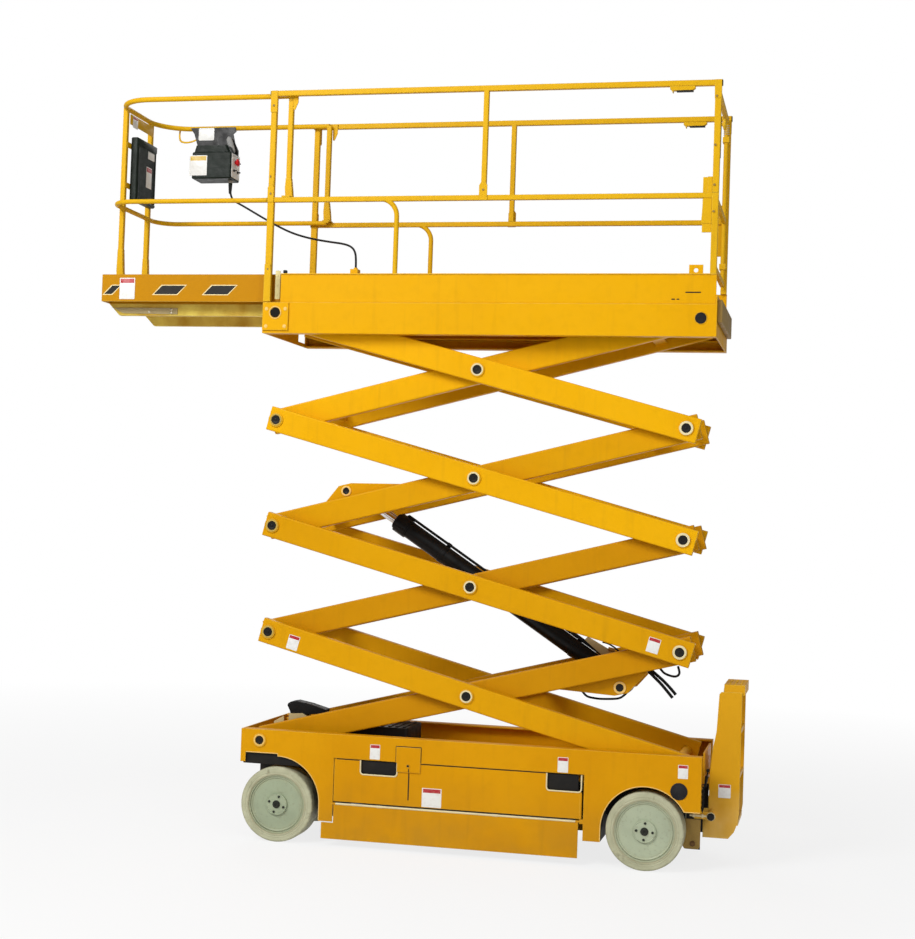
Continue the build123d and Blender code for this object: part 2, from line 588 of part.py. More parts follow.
def lower_rail(y):
    """Fixed half of a side rail: middle rail, its posts, grab bar and the rear gusset's lower part."""
    rail = level_tube(rail_rear, rail_front, y, rail_mid_z, mid_tube)
    rail += upright(post_front_x, y, p_track + 0.3, rail_mid_z, 34)
    rail += upright(post_rear_x, y, toe_top + 0.3, rail_mid_z, 32)
    rail += block(gusset_x0, gusset_x1, y - 4, y + 4, gusset_low, rail_mid_z)
    grab = FilletPolyline((grab_x + 150, y, rail_mid_z), (grab_x, y, rail_mid_z), (grab_x, y, toe_top + 0.3),
                          radius=grab_radius)
    section = Plane(origin=grab @ 0, z_dir=grab % 0) * Circle(12.5)
    return rail + sweep(section, path=grab)


def upper_rail(y):
    """Folding half: top rail, three posts that stand on the middle rail, the gusset's upper part."""
    rail = level_tube(rail_rear, rail_front, y, rail_top_z)
    rail += upright(post_front_x, y, fold_z, rail_top_z, 30)
    rail += upright(post_mid_x, y, fold_z, rail_top_z, mid_tube)
    rail += upright(post_rear_x, y, fold_z, rail_top_z, 32)
    return rail + block(gusset_x0, gusset_x1, y - 4, y + 4, fold_z, gusset_high)


gate_x = p_rear + 30.0
gate_hinge_y = -(rail_y - 42.0)
gate_free_y = rail_y - tube / 2 - clear
gate_low = p_deck + 138.0
gate_high = rail_top_z - 8.0
gate_tube = 12.0



def gate_collar(z):
    """Collar on the right rail's rear post that carries the gate's tube."""
    collar = block(gate_x - 17, gate_x + 17, -rail_y + tube / 2, gate_hinge_y + 17, z, z + 30)
    return collar - shaft_z(gate_x, gate_hinge_y, gate_tube + running, z - 1, z + 31)


save("guard_rail_left", lower_rail(rail_y), upper_rail(rail_y))
save("guard_rail_right", lower_rail(-rail_y) + gate_collar(gate_low + 90),
     upper_rail(-rail_y) + gate_collar(gate_high - 130))

gate = shaft_z(gate_x, gate_hinge_y, gate_tube, gate_low, gate_high)
for z in (gate_low + 12, rail_mid_z, gate_high - 12):
    gate += bar(gate_x - 12, gate_x + 12, gate_hinge_y, gate_free_y, z - 12, z + 12)
gate += bar(gate_x - 12, gate_x + 12, gate_free_y - 24, gate_free_y, gate_low, gate_high)
save("rear_gate", gate)

# ---- roll-out extension -------------------------------------------------------------
e_deck = e_deck_under + sheet
e_low = platform_pivot - 2.0                            # slide bars ahead of the platform
e_slide_low = platform_pivot + 20.0                     # slide bars under the deck
e_rear = x_front - 300.0
e_y = y_side - 36.0                                     # extension toe board, outer face

deck = block(e_rear, x_tip, -e_y, e_y, e_deck_under, e_deck)
deck += block(x_tip - plate, x_tip, -e_y, e_y, p_track + clear, toe_top)
for sign in (1, -1):
    deck += block(x_front + 60, x_tip, sign * (e_y - sheet), sign * e_y, p_track + clear, toe_top)
    deck += block(x_front + 60, x_tip, sign * (e_y - 16), sign * e_y, toe_top - 8, toe_top)
    slider = [(x_tip, p_track + clear), (x_tip - 60, e_low), (p_front + 30, e_low), (p_front + 30, e_slide_low),
              (e_rear, e_slide_low), (e_rear, slide_top), (x_tip, slide_top)]
    deck += side_plate(slider, sign * slide_y0, sign * slide_y1)
    deck += block(e_rear, e_rear + 60, sign * slide_y0, sign * slide_y1, slide_top - 1, p_deck_under - seat)
save("extension_deck", deck)

e_rail_y = y_side - 50.0
e_front_x = x_tip - 18.0
e_rear_post = x_front + 72.0


def loop_rail(z, radius, size):
    """U-shaped rail, open to the rear."""
    path = FilletPolyline((e_rear_post, e_rail_y, z), (e_front_x, e_rail_y, z), (e_front_x, -e_rail_y, z),
                          (e_rear_post, -e_rail_y, z), radius=radius)
    section = Plane(origin=path @ 0, z_dir=path % 0) * Circle(size / 2)
    return sweep(section, path=path)


rails = loop_rail(rail_top_z - 4, 200.0, 27.0) + loop_rail(rail_mid_z + 6, 120.0, 25.0)
for y in (165.0, -165.0):
    rails += upright(e_front_x, y, toe_top + 0.3, rail_top_z - 4, 26)
saddle_z = rail_mid_z + (tube - 2) / 2 + seat
for sign in (1, -1):                                    # rear posts, with shoes that slide on the side rails
    rails += upright(e_rear_post, sign * e_rail_y, rail_mid_z + 6, rail_top_z - 4, 26)
    rails += block(e_rear_post - 22, e_rear_post + 22, sign * (e_rail_y - 13), sign * (rail_y + 11),
                   saddle_z, saddle_z + 8)
strap_x = e_front_x - 13 + 1                            # straps across the backs of the front posts
strap_low, strap_rise = platform_pivot + 700.0, 220.0
for z in (strap_low, strap_low + strap_rise):
    rails += block(strap_x - 4, strap_x, -170, 170, z, z + 30)
save("extension_rails", rails)

doc_front = strap_x - 4 - seat
doc_half, doc_low, doc_high = 128.0, platform_pivot + 640.0, platform_pivot + 985.0
doc_box = block(doc_front - 41, doc_front, -doc_half, doc_half, doc_low, doc_high)
doc_box = fillet(doc_box.edges(), 8.0)
save("document_box", doc_box)

# ---- control box and its cable -------------------------------------------------------
ctl_x = x_front + 700.0
ctl_y = -(e_rail_y - 95.0)
ctl_low = platform_pivot + 815.0
ctl = block(ctl_x - 115, ctl_x + 115, ctl_y - 70, ctl_y + 70, ctl_low, ctl_low + 150)
ctl = fillet(ctl.edges(), 8.0)
ctl += block(ctl_x - 60, ctl_x + 60, ctl_y - 80, ctl_y - 60, ctl_low + 120, rail_top_z - 25)
gland_x, gland_y = x_front + 610.0, ctl_y
ctl += shaft_z(gland_x, gland_y, 11.0, ctl_low - 28, ctl_low + 2)
save("control_box", ctl)

cable_radius = 5.5
socket_top = toe_top + 34.0
cable_x = x_front - 306.0
cable_y = y_side - 44.0
cable_points = [
    (gland_x, gland_y, ctl_low - 28.0), (gland_x, gland_y, 3442.0), (1202, -213, 3396), (1128, -180, 3358),
    (1030, -136, 3303), (915, -85, 3240), (797, -30, 3182), (687, 28, 3144), (590, 80, 3119), (500, 138, 3098),
    (430, 190, 3082), (374, 243, 3061), (336, 294, 3033), (cable_x, cable_y, 2991), (cable_x, cable_y, socket_top)]
runs = [hypot(*(b - a for a, b in zip(p, q))) for p, q in zip(cable_points, cable_points[1:])]
radii = []
for k in range(1, len(cable_points) - 1):
    before = Vector(*cable_points[k]) - Vector(*cable_points[k - 1])
    after = Vector(*cable_points[k + 1]) - Vector(*cable_points[k])
    turn = radians(before.get_angle(after))
    radii.append(0.45 * min(runs[k - 1], runs[k]) / tan(turn / 2))
path = FilletPolyline(*cable_points, radius=radii)
section = Plane(origin=path @ 0, z_dir=path % 0) * Circle(cable_radius)
cable = sweep(section, path=path)
print("cable length", round(path.length, 1), "runs", [round(r) for r in runs])
print("cable radii", [round(r) for r in radii])
print("cable volume ratio", cable.volume / (pi * cable_radius ** 2 * path.length))
save("control_cable", cable)

socket = block(cable_x - 20, cable_x + 20, cable_y - 16, toe_inner - seat, toe_top + clear, toe_top + 24)
socket += block(cable_x - 20, cable_x + 20, toe_inner - seat - 6, toe_inner - seat, toe_top - 40, toe_top + 24)
socket += shaft_z(cable_x, cable_y, 10.0, toe_top + 23, socket_top)
save("cable_socket", socket)
print("cylinder", round(pin_distance, 1), round(cylinder_angle, 2), "length", x_tip - x_ladder)
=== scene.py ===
import json

import bpy
import numpy as np
from mathutils import Matrix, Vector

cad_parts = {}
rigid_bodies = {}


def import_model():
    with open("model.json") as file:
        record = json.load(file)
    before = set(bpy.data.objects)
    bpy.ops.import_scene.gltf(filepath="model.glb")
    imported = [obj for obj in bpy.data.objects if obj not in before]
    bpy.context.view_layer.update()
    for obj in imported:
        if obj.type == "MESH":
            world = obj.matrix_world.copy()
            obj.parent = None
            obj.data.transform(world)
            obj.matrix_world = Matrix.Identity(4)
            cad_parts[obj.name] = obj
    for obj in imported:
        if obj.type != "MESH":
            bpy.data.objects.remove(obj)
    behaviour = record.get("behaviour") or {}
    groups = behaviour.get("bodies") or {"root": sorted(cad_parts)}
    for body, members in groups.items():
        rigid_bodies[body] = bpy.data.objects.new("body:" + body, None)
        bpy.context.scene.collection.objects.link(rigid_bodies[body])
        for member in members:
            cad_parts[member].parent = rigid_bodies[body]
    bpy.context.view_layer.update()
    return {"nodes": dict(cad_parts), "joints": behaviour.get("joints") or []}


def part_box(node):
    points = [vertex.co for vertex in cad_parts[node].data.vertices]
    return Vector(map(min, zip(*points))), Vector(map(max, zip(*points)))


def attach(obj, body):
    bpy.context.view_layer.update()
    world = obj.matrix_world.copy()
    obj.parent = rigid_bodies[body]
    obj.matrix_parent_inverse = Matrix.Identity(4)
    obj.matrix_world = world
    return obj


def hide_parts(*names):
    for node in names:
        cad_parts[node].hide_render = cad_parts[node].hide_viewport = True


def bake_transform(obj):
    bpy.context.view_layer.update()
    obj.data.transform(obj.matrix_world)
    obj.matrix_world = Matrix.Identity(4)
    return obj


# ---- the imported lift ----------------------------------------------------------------
# The machine's own solids, with every body and joint, are the frame that all the trim is fixed to.
for leftover in list(bpy.data.objects):
    bpy.data.objects.remove(leftover)
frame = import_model()

# ---- camera -------------------------------------------------------------------------
# It stands off the left side, ahead of the middle, at the height of the second pair of arms, and looks slightly up.
stand = (-2.130, 8.4997, 1.6567)
yaw, pitch, roll = 0.225475, 0.030931, 0.033991
ahead = np.array((np.sin(yaw) * np.cos(pitch), -np.cos(yaw) * np.cos(pitch), np.sin(pitch)))
level = np.array((-np.cos(yaw), -np.sin(yaw), 0.0))
upright = np.cross(level, ahead)
rightward = level * np.cos(roll) + upright * np.sin(roll)
upward = upright * np.cos(roll) - level * np.sin(roll)
camera = bpy.data.objects.new("camera", bpy.data.cameras.new("camera"))
camera.data.lens = 64.05
camera.data.sensor_width = 36.0
placed = np.eye(4)
placed[:3, :4] = np.column_stack((rightward, upward, -ahead, stand))
camera.matrix_world = Matrix(placed.tolist())
bpy.context.scene.collection.objects.link(camera)
bpy.context.scene.camera = camera

# ---- control cable ------------------------------------------------------------------
# The lead of the control box: eleven millimetre rubber-sheathed cable. It hangs from the gland under the box, crosses
# over the roll-out deck with some slack and drops into the socket on the left toe board.


class Signal:
    """One output of a finish's nodes: sums, differences, products and comparisons of signals add Math nodes."""

    def __init__(self, finish, socket):
        self.finish = finish
        self.socket = socket

    def __add__(self, other):
        return self.finish.maths("ADD", self, other)

    def __sub__(self, other):
        return self.finish.maths("SUBTRACT", self, other)

    def __rsub__(self, other):
        return self.finish.maths("SUBTRACT", other, self)

    def __mul__(self, other):
        return self.finish.maths("MULTIPLY", self, other)

    def __gt__(self, other):
        return self.finish.maths("GREATER_THAN", self, other)

    def __lt__(self, other):
        return self.finish.maths("LESS_THAN", self, other)

    __radd__ = __add__
    __rmul__ = __mul__


class Nodes:
    """A node tree and short forms for the nodes that are added to it."""

    def __init__(self, tree):
        self.tree = tree

    def node(self, kind, settings=None, inputs=None, output=0):
        """Adds a node: its settings are made first, then its sockets take values or links."""
        made = self.tree.nodes.new(kind)
        for key, value in (settings or {}).items():
            setattr(made, key, value)
        for key, value in (inputs or {}).items():
            self.feed(made.inputs[key], value)
        return Signal(self, made.outputs[output])

    def feed(self, socket, value):
        if isinstance(value, Signal):
            self.tree.links.new(value.socket, socket)
        else:
            socket.default_value = value

    def maths(self, operation, *terms):
        return self.node("ShaderNodeMath", {"operation": operation}, dict(enumerate(terms)))

    def vector(self, operation, *terms, output=0):
        return self.node("ShaderNodeVectorMath", {"operation": operation}, dict(enumerate(terms)), output)

    def fade(self, value, start, end, first=0.0, last=1.0):
        """Runs from first to last as value goes from start to end, and stays level outside."""
        return self.node("ShaderNodeMapRange", {"clamp": True}, {0: value, 1: start, 2: end, 3: first, 4: last})

    def blend(self, mask, first, second):
        """Colour `first` where mask is 0 and `second` where it is 1."""
        sides = [side if isinstance(side, Signal) else (*side, 1.0) for side in (first, second)]
        return self.node("ShaderNodeMix", {"data_type": "RGBA"}, {0: mask, 6: sides[0], 7: sides[1]}, output=2)

    def ray(self, *kinds):
        """1 for light rays of these kinds, such as "Camera", and 0 for others: the largest of the kinds' flags."""
        flags = [self.node("ShaderNodeLightPath", output=f"Is {kind} Ray") for kind in kinds]
        largest = flags[0]
        for flag in flags[1:]:
            largest = self.maths("MAXIMUM", largest, flag)
        return largest


class Finish(Nodes):
    """A surface finish: one Principled shader and the nodes that vary its colour, roughness and relief."""

    def __init__(self, name, roughness=0.5, metallic=0.0):
        self.material = bpy.data.materials.new(name)
        self.material.use_nodes = True
        super().__init__(self.material.node_tree)
        self.shader = self.tree.nodes["Principled BSDF"]
        self.set("Roughness", roughness)
        self.set("Metallic", metallic)
        self.place = self.node("ShaderNodeTexCoord", output="Object")

    def set(self, socket, value):
        self.feed(self.shader.inputs[socket], value)

    def noise(self, scale, detail=3.0, stretch=(1.0, 1.0, 1.0)):
        """Fractal noise with `scale` lumps a metre, drawn out where stretch is below 1."""
        spread = self.node("ShaderNodeMapping", {}, {"Vector": self.place, "Scale": stretch})
        return self.node("ShaderNodeTexNoise", {}, {"Vector": spread, "Scale": scale, "Detail": detail})

    def along(self, axis, vector=None):
        """The x, y or z part (0, 1 or 2) of a place, by default the object's own."""
        return self.node("ShaderNodeSeparateXYZ", {}, {0: vector or self.place}, output=axis)

    def relief(self, height, distance, base=None):
        """Bumps the surface by height times distance, in metres."""
        inputs = {"Height": height, "Distance": distance}
        if base:
            inputs["Normal"] = base
        self.set("Normal", self.node("ShaderNodeBump", {}, inputs))

    def skin(self, shade, drift, smooth, rough, grain, depth, detail=2.0):
        """Ends a finish: its colour, roughness that drifts between two levels, and a fine grain."""
        self.set("Base Color", shade)
        self.set("Roughness", self.fade(self.noise(drift), 0.3, 0.7, smooth, rough))
        self.relief(self.noise(grain, detail), depth)
        return self.material


def rubber(name, colour, roughness, grain=900.0):
    """Soft matt sheath: the colour greys where it is handled, over a fine sprayed grain."""
    finish = Finish(name, roughness)
    finish.set("Specular IOR Level", 0.14)
    handled = finish.fade(finish.noise(9.0, 4.0), 0.45, 0.75)
    paler = tuple(c * 1.6 + 0.004 for c in colour)
    return finish.skin(finish.blend(handled, colour, paler), 30.0, roughness - 0.08, roughness + 0.1, grain, 0.0004)


def carried(path, radius, count=16, squeeze=1.0):
    """Rings round a line: path + radius * (cos a * n + squeeze * sin a * b). n is square to the line and to the
    direction that the line runs along least; b is square to both the line and n."""
    path = np.asarray(path, float)
    tangent = np.gradient(path, axis=0)
    tangent /= np.linalg.norm(tangent, axis=1)[:, None]
    least = np.linalg.svd(tangent)[2][-1]
    n = np.cross(tangent, least)
    n /= np.linalg.norm(n, axis=1)[:, None]
    b = np.cross(tangent, n)
    a = np.linspace(0.0, 2 * np.pi, count, endpoint=False)
    reach = np.broadcast_to(radius, len(path))[:, None, None]
    return path[:, None] + reach * (np.cos(a)[None, :, None] * n[:, None]
                                    + squeeze * np.sin(a)[None, :, None] * b[:, None])


def piece(name, shells, material, body):
    """One mesh of shells. A shell is a stack of closed rings: quads join each ring to the next, and flat faces close
    its ends, unless the last ring is the first one again. A shell whose signed volume is below zero is turned
    inside out, so that every face points outwards."""
    points, faces, start = [], [], 0
    for shell in shells:
        looped = np.allclose(shell[0], shell[-1])
        rings = shell[:-1] if looped else shell
        m, n = rings.shape[:2]
        index = start + np.arange(m * n).reshape(m, n)
        below = index if looped else index[:-1]
        above = np.roll(index, -1, axis=0) if looped else index[1:]
        quads = np.stack((below, np.roll(below, -1, axis=1), np.roll(above, -1, axis=1), above), axis=-1)
        quads = quads.reshape(-1, 4)
        flat = rings.reshape(-1, 3)
        ends = [] if looped else [index[0][::-1], index[-1]]
        local = quads - start
        a, b, c, d = (flat[local[:, k]] - flat.mean(axis=0) for k in range(4))
        volume = np.einsum("ij,ij->", a, np.cross(b, c)) + np.einsum("ij,ij->", a, np.cross(c, d))
        if volume < 0:
            quads = quads[:, ::-1]
            ends = [end[::-1] for end in ends]
        points.append(flat)
        faces += quads.tolist() + [end.tolist() for end in ends]
        start += m * n
    mesh = bpy.data.meshes.new(name)
    mesh.from_pydata(np.concatenate(points).tolist(), [], faces)
    mesh.polygons.foreach_set("use_smooth", np.ones(len(faces), bool))
    mesh.set_sharp_from_angle(angle=np.radians(35.0))
    mesh.materials.append(material)
    made = bpy.data.objects.new(name, mesh)
    bpy.context.scene.collection.objects.link(made)
    if body:
        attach(made, body)
    return made


cable_route = [(1.2275, -0.235, 3.482), (1.2275, -0.235, 3.442), (1.202, -0.213, 3.396), (1.128, -0.180, 3.358),
               (1.030, -0.136, 3.303), (0.915, -0.085, 3.240), (0.797, -0.030, 3.182), (0.687, 0.028, 3.144),
               (0.590, 0.080, 3.119), (0.500, 0.138, 3.098), (0.430, 0.190, 3.082), (0.374, 0.243, 3.061),
               (0.336, 0.294, 3.033), (0.3115, 0.336, 2.991), (0.3115, 0.336, 2.932)]
route = bpy.data.curves.new("cable_route", "CURVE")
route.dimensions = "3D"
spline = route.splines.new("NURBS")
spline.points.add(len(cable_route) - 1)
spline.points.foreach_set("co", np.column_stack((cable_route, np.ones(len(cable_route)))).ravel())
spline.order_u = 3
spline.use_endpoint_u = True
spline.resolution_u = 12
guide = bpy.data.objects.new("cable_route", route)
line = bpy.data.meshes.new_from_object(guide)
cable_line = np.empty(len(line.vertices) * 3)
line.vertices.foreach_get("co", cable_line)
cable_line = cable_line.reshape(-1, 3)
bpy.data.objects.remove(guide)
bpy.data.meshes.remove(line)

cable_black = rubber("cable_rubber", (0.012, 0.012, 0.013), 0.48)
cable = piece("control_lead", [carried(cable_line, 0.011 / 2)], cable_black, None)
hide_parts("control_cable")
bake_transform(cable)
gland_radius = (0.0105, 0.0105, 0.0098, 0.0103, 0.0092, 0.0097, 0.0086, 0.0091, 0.0080, 0.0084, 0.0072, 0.0066)
gland_line = np.linspace(cable_route[0], np.array(cable_route[0]) - (0.0, 0.0, 0.045), len(gland_radius))
piece("gland_sleeve", [carried(gland_line, gland_radius, 20)], cable_black, "extension")

# ---- chassis ------------------------------------------------------------------------
# Welded box of folded sheet, open on top for the folded arms, with an arch cut out over each wheel. Sprayed in one
# coat of yellow enamel that has gone a little deeper and dustier than the platform's.


def off_axis(finish, x, z):
    """Distance in metres from the line along Y through (x, z): the length of the offset without its y part."""
    offset = finish.vector("SUBTRACT", finish.place, (x, 0.0, z))
    return finish.vector("LENGTH", finish.vector("MULTIPLY", offset, (1.0, 0.0, 1.0)), output=1)


def enamel(name, colour, deep, dust_and_painted_light=0.0, dust=(0.30, 0.185, 0.035), levels=(0.40, 0.06), spots=()):
    """Sprayed yellow enamel: broad drifts towards a deeper shade, faint vertical dirt runs, a tint that thickens from
    the first level down to the second (dust where the tint is darker, painted light where it is paler), edges
    painted paler as a painted highlight, and an orange-peel skin. A spot (x, z, radius) is an unpainted black pin
    end."""
    finish = Finish(name, 0.4)
    finish.set("Specular IOR Level", 0.05)
    drift = finish.fade(finish.noise(1.7, 4.0), 0.38, 0.68)
    shade = finish.blend(drift * 0.7, colour, deep)
    mottle = finish.fade(finish.noise(23.0, 5.0), 0.5, 0.78)
    shade = finish.blend(mottle * 0.16, shade, tuple(c * 0.72 for c in colour))
    runs = finish.fade(finish.noise(26.0, 4.0, (1.0, 1.0, 0.08)), 0.56, 0.8)
    shade = finish.blend(runs * 0.13, shade, (0.20, 0.10, 0.012))
    # The tint from the first level down is dust where it is darker, as on the chassis, and painted light where it is
    # paler, as on the ladder and the extension.
    if dust_and_painted_light:
        low = finish.fade(finish.along(2), *levels)
        patches = finish.fade(finish.noise(7.0, 5.0), 0.3, 0.7, 0.25, 1.0)
        shade = finish.blend(low * patches * dust_and_painted_light, shade, dust)
    # Edges are painted paler than the coat: a painted highlight for the light that rounded edges catch.
    softened = finish.node("ShaderNodeBevel", {"samples": 4}, {"Radius": 0.005})
    facing = finish.node("ShaderNodeNewGeometry", output="Normal")
    edge = finish.fade(finish.vector("DOT_PRODUCT", softened, facing, output=1), 0.995, 0.86)
    wear_and_highlight = edge * finish.fade(finish.noise(15.0, 4.0), 0.35, 0.6, 0.35, 1.0)
    edge_highlight_colour = (min(colour[0] * 1.1 + 0.08, 0.92), min(colour[1] * 1.5 + 0.1, 0.66), 0.10)
    shade = finish.blend(wear_and_highlight * 0.75, shade, edge_highlight_colour)
    for x, z, radius in spots:
        shade = finish.blend(off_axis(finish, x, z) < radius, shade, (0.012, 0.011, 0.009))
    finish.set("Base Color", shade)
    finish.set("Roughness", finish.fade(finish.noise(11.0, 4.0), 0.3, 0.75, 0.30, 0.48))
    finish.relief(finish.noise(260.0, 2.0), 0.00022, softened)
    return finish.material


def paint(material, *nodes):
    """Gives CAD nodes their finish, through their objects' material slots."""
    for node in nodes:
        for held in frame["nodes"][node].material_slots:
            held.material = material


def satin(name, colour, roughness=0.4, metallic=0.0, dust=(0.10, 0.085, 0.06), dusting=0.35):
    """Satin coat or bare metal: mottled sheen, with dust that has settled in patches."""
    finish = Finish(name, roughness, metallic)
    finish.set("Specular IOR Level", 0.18)
    patches = finish.fade(finish.noise(8.0, 5.0), 0.5, 0.8)
    speckle = finish.fade(finish.noise(160.0, 3.0), 0.45, 0.7)
    shade = finish.blend(speckle * 0.18, colour, tuple(c * 1.5 + 0.004 for c in colour))
    shade = finish.blend(patches * dusting, shade, dust)
    return finish.skin(shade, 22.0, roughness - 0.09, roughness + 0.12, 320.0, 0.00015)


def turned(profile, centre, axis, count=40, hollow=False):
    """Rings turned about an axis: each (reach, radius) of the profile, in millimetres, gives centre + reach * axis
    + radius * (cos a * p + sin a * q), where p and q are square to the axis. Six points a ring make a hexagon. A
    hollow profile comes back to its first point."""
    if hollow:
        profile = [*profile, profile[0]]
    reach, radius = np.asarray(profile, float).T / 1000
    axis = np.asarray(axis, float) / np.linalg.norm(axis)
    p = np.roll(axis, 1) - axis * np.dot(np.roll(axis, 1), axis)
    p /= np.linalg.norm(p)
    q = np.cross(axis, p)
    a = np.linspace(0.0, 2 * np.pi, count, endpoint=False)
    spoke = np.cos(a)[:, None] * p + np.sin(a)[:, None] * q
    return np.asarray(centre) + reach[:, None, None] * axis + radius[:, None, None] * spoke


def rounded(low, high, axis, corner=0.003, edge=0.001, across=5):
    """A block between two corners as rings stacked along an axis: rounded rectangles with corner radius `corner`,
    drawn in by edge * (1 - sin t) while they rise by edge * (1 - cos t) from either end face."""
    low, high = np.minimum(low, high), np.maximum(low, high)
    u, v = [k for k in range(3) if k != axis]
    t = np.linspace(0.0, np.pi / 2, 4)
    rise = np.concatenate((low[axis] + edge * (1 - np.cos(t)), high[axis] - edge * (1 - np.cos(t[::-1]))))
    inset = edge * (1 - np.sin(np.concatenate((t, t[::-1]))))
    a = np.linspace(0.0, np.pi / 2, across)
    turns = (np.arange(4)[:, None] * np.pi / 2 + a).ravel()
    side_u = np.repeat((1.0, -1.0, -1.0, 1.0), across)
    side_v = np.repeat((1.0, 1.0, -1.0, -1.0), across)
    half_u, half_v = (high[u] - low[u]) / 2, (high[v] - low[v]) / 2
    corner = min(corner, half_u * 0.98, half_v * 0.98)
    rings = np.empty((len(rise), len(turns), 3))
    spread = corner - np.minimum(inset, corner * 0.9)
    rings[:, :, u] = (low[u] + high[u]) / 2 + side_u * (half_u - corner) + spread[:, None] * np.cos(turns)
    rings[:, :, v] = (low[v] + high[v]) / 2 + side_v * (half_v - corner) + spread[:, None] * np.sin(turns)
    rings[:, :, axis] = rise[:, None]
    return rings


def tipped(shell, degrees, about):
    """The same rings turned about a line along Y through `about`: x' = x cos t - z sin t, z' = x sin t + z cos t."""
    t = np.radians(degrees)
    about = np.asarray(about, float)
    turn = np.array(((np.cos(t), 0.0, -np.sin(t)), (0.0, 1.0, 0.0), (np.sin(t), 0.0, np.cos(t))))
    return (shell - about) @ turn.T + about


def extruded(outline, y0, y1, edge=0.0015):
    """A flat outline of (x, z) corners carried from y0 to y1, drawn in a little at both faces by moving each corner
    towards the middle of the outline."""
    outline = np.asarray(outline, float)
    y0, y1 = min(y0, y1), max(y0, y1)
    middle = outline.mean(axis=0)
    inward = middle - outline
    inward /= np.linalg.norm(inward, axis=1)[:, None]
    steps = ((y0, edge), (y0 + edge, 0.0), (y1 - edge, 0.0), (y1, edge))
    rings = [np.insert(outline + inward * inset, 1, y, axis=1) for y, inset in steps]
    return np.array(rings)


def chart(made, corner, across, upward):
    """UV map "face": u and v run from 0 to 1 along the two edges that leave a corner of the piece's face."""
    mesh = made.data
    points = np.empty(len(mesh.vertices) * 3)
    mesh.vertices.foreach_get("co", points)
    offset = points.reshape(-1, 3) - np.asarray(corner)
    across, upward = np.asarray(across), np.asarray(upward)
    uv = np.column_stack((offset @ across / (across @ across), offset @ upward / (upward @ upward)))
    held = np.empty(len(mesh.loops), int)
    mesh.loops.foreach_get("vertex_index", held)
    mesh.uv_layers.new(name="face").data.foreach_set("uv", uv[held].ravel())


def printed(name, band, share, ground=(0.80, 0.80, 0.77)):
    """Vinyl sticker: pale ground with one plain band along its top, a little scuffed and yellowed."""
    finish = Finish(name, 0.35)
    face = finish.node("ShaderNodeUVMap", {"uv_map": "face"})
    width, height = finish.along(0, face), finish.along(1, face)
    inside = (width > 0.05) * (width < 0.95) * (height < 0.965)
    shade = finish.blend((height > 1 - share) * inside, ground, band)
    scuff = finish.fade(finish.noise(60.0, 4.0), 0.5, 0.8)
    return finish.skin(finish.blend(scuff * 0.3, shade, (0.46, 0.40, 0.30)), 45.0, 0.28, 0.5, 500.0, 0.00008)


warning_vinyl = printed("white_vinyl_red_band", (0.42, 0.012, 0.02), 0.24)


def sticker(name, x, z, width, height, y, body, degrees=0.0, material=warning_vinyl):
    """A blank sticker on a side face, seen from the left where y is above 0 and from the right where it is below."""
    side = np.sign(y)
    middle = np.array((x, y, z))
    across, upward = np.array((side * width / 2, 0, 0)), np.array((0, 0, height / 2))
    card = rounded(middle - across - upward, middle + across + upward + (0, side * 0.0007, 0), 1, 0.003, 0.0003)
    made = piece(name, [tipped(card, degrees, middle)], material, body)
    corners = np.array([[middle + across - upward], [middle - across - upward], [middle + across + upward]])
    corner, right, top = tipped(corners, degrees, middle)[:, 0]
    chart(made, corner, right - corner, top - corner)


def stickers(name, x, z, width, height, y, body, degrees=0.0):
    """The same sticker on the left side and on the right."""
    for side, word in ((1, "left"), (-1, "right")):
        sticker(f"{name}_{word}", x, z, width, height, side * y, body + word if body[-1] == "_" else body, degrees)


def pair(name, shells, material, body):
    """A piece on the left side, and its mirror image on the right, where y is -y. A body whose name ends in _ gets
    the side's name too."""
    for side, word in ((1, "left"), (-1, "right")):
        mirrored = [shell * (1, side, 1) for shell in shells]
        piece(f"{name}_{word}", mirrored, material, body + word if body[-1] == "_" else body)


def arc(x, z, radius, start, end, count):
    """Points (x, z) on a circle about a centre, from one angle to another in degrees."""
    t = np.radians(np.linspace(start, end, count))
    return np.column_stack((x + radius * np.cos(t), z + radius * np.sin(t)))


def at_y(path, y):
    """The (x, z) points of a path, all set at the same y."""
    return np.insert(path, 1, y, axis=1)


left = (0, 1, 0)
chassis_yellow = enamel("chassis_enamel", (0.68, 0.312, 0.003), (0.59, 0.25, 0.002), 0.35)
black_metal = satin("blackened_steel", (0.009, 0.008, 0.007), 0.42, 0.0, (0.05, 0.042, 0.03), 0.25)
cream_coat = satin("cream_ring", (0.74, 0.64, 0.38), 0.4, 0.0, (0.42, 0.33, 0.16), 0.3)
pale_yellow = satin("pale_yellow_edge", (0.80, 0.52, 0.15), 0.4, 0.0, (0.50, 0.30, 0.08), 0.3)
bright_zinc = satin("zinc_plate", (0.62, 0.56, 0.42), 0.33, 0.7, (0.36, 0.28, 0.15), 0.3)
black_coat = satin("black_chassis_paint", (0.010, 0.009, 0.008), 0.5, 0.0, (0.045, 0.036, 0.024), 0.35)
paint(chassis_yellow, "chassis_skins", "chassis_tracks", "chassis_tub", "pothole_guard_left", "pothole_guard_right",
      "tray_door_left", "tray_door_right")
paint(black_coat, "chassis_bays")

skin_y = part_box("chassis_skins")[1][1]
door_y = skin_y - 0.001
stickers("chassis_sticker_front", 0.107, 0.487, 0.052, 0.074, skin_y + 0.0001, "chassis")
stickers("chassis_sticker_middle", -0.846, 0.485, 0.052, 0.074, skin_y + 0.0001, "chassis")
stickers("chassis_sticker_rear", -1.430, 0.489, 0.048, 0.066, skin_y + 0.0001, "chassis")
stickers("door_sticker", -0.192, 0.278, 0.100, 0.094, door_y + 0.0001, "door_")
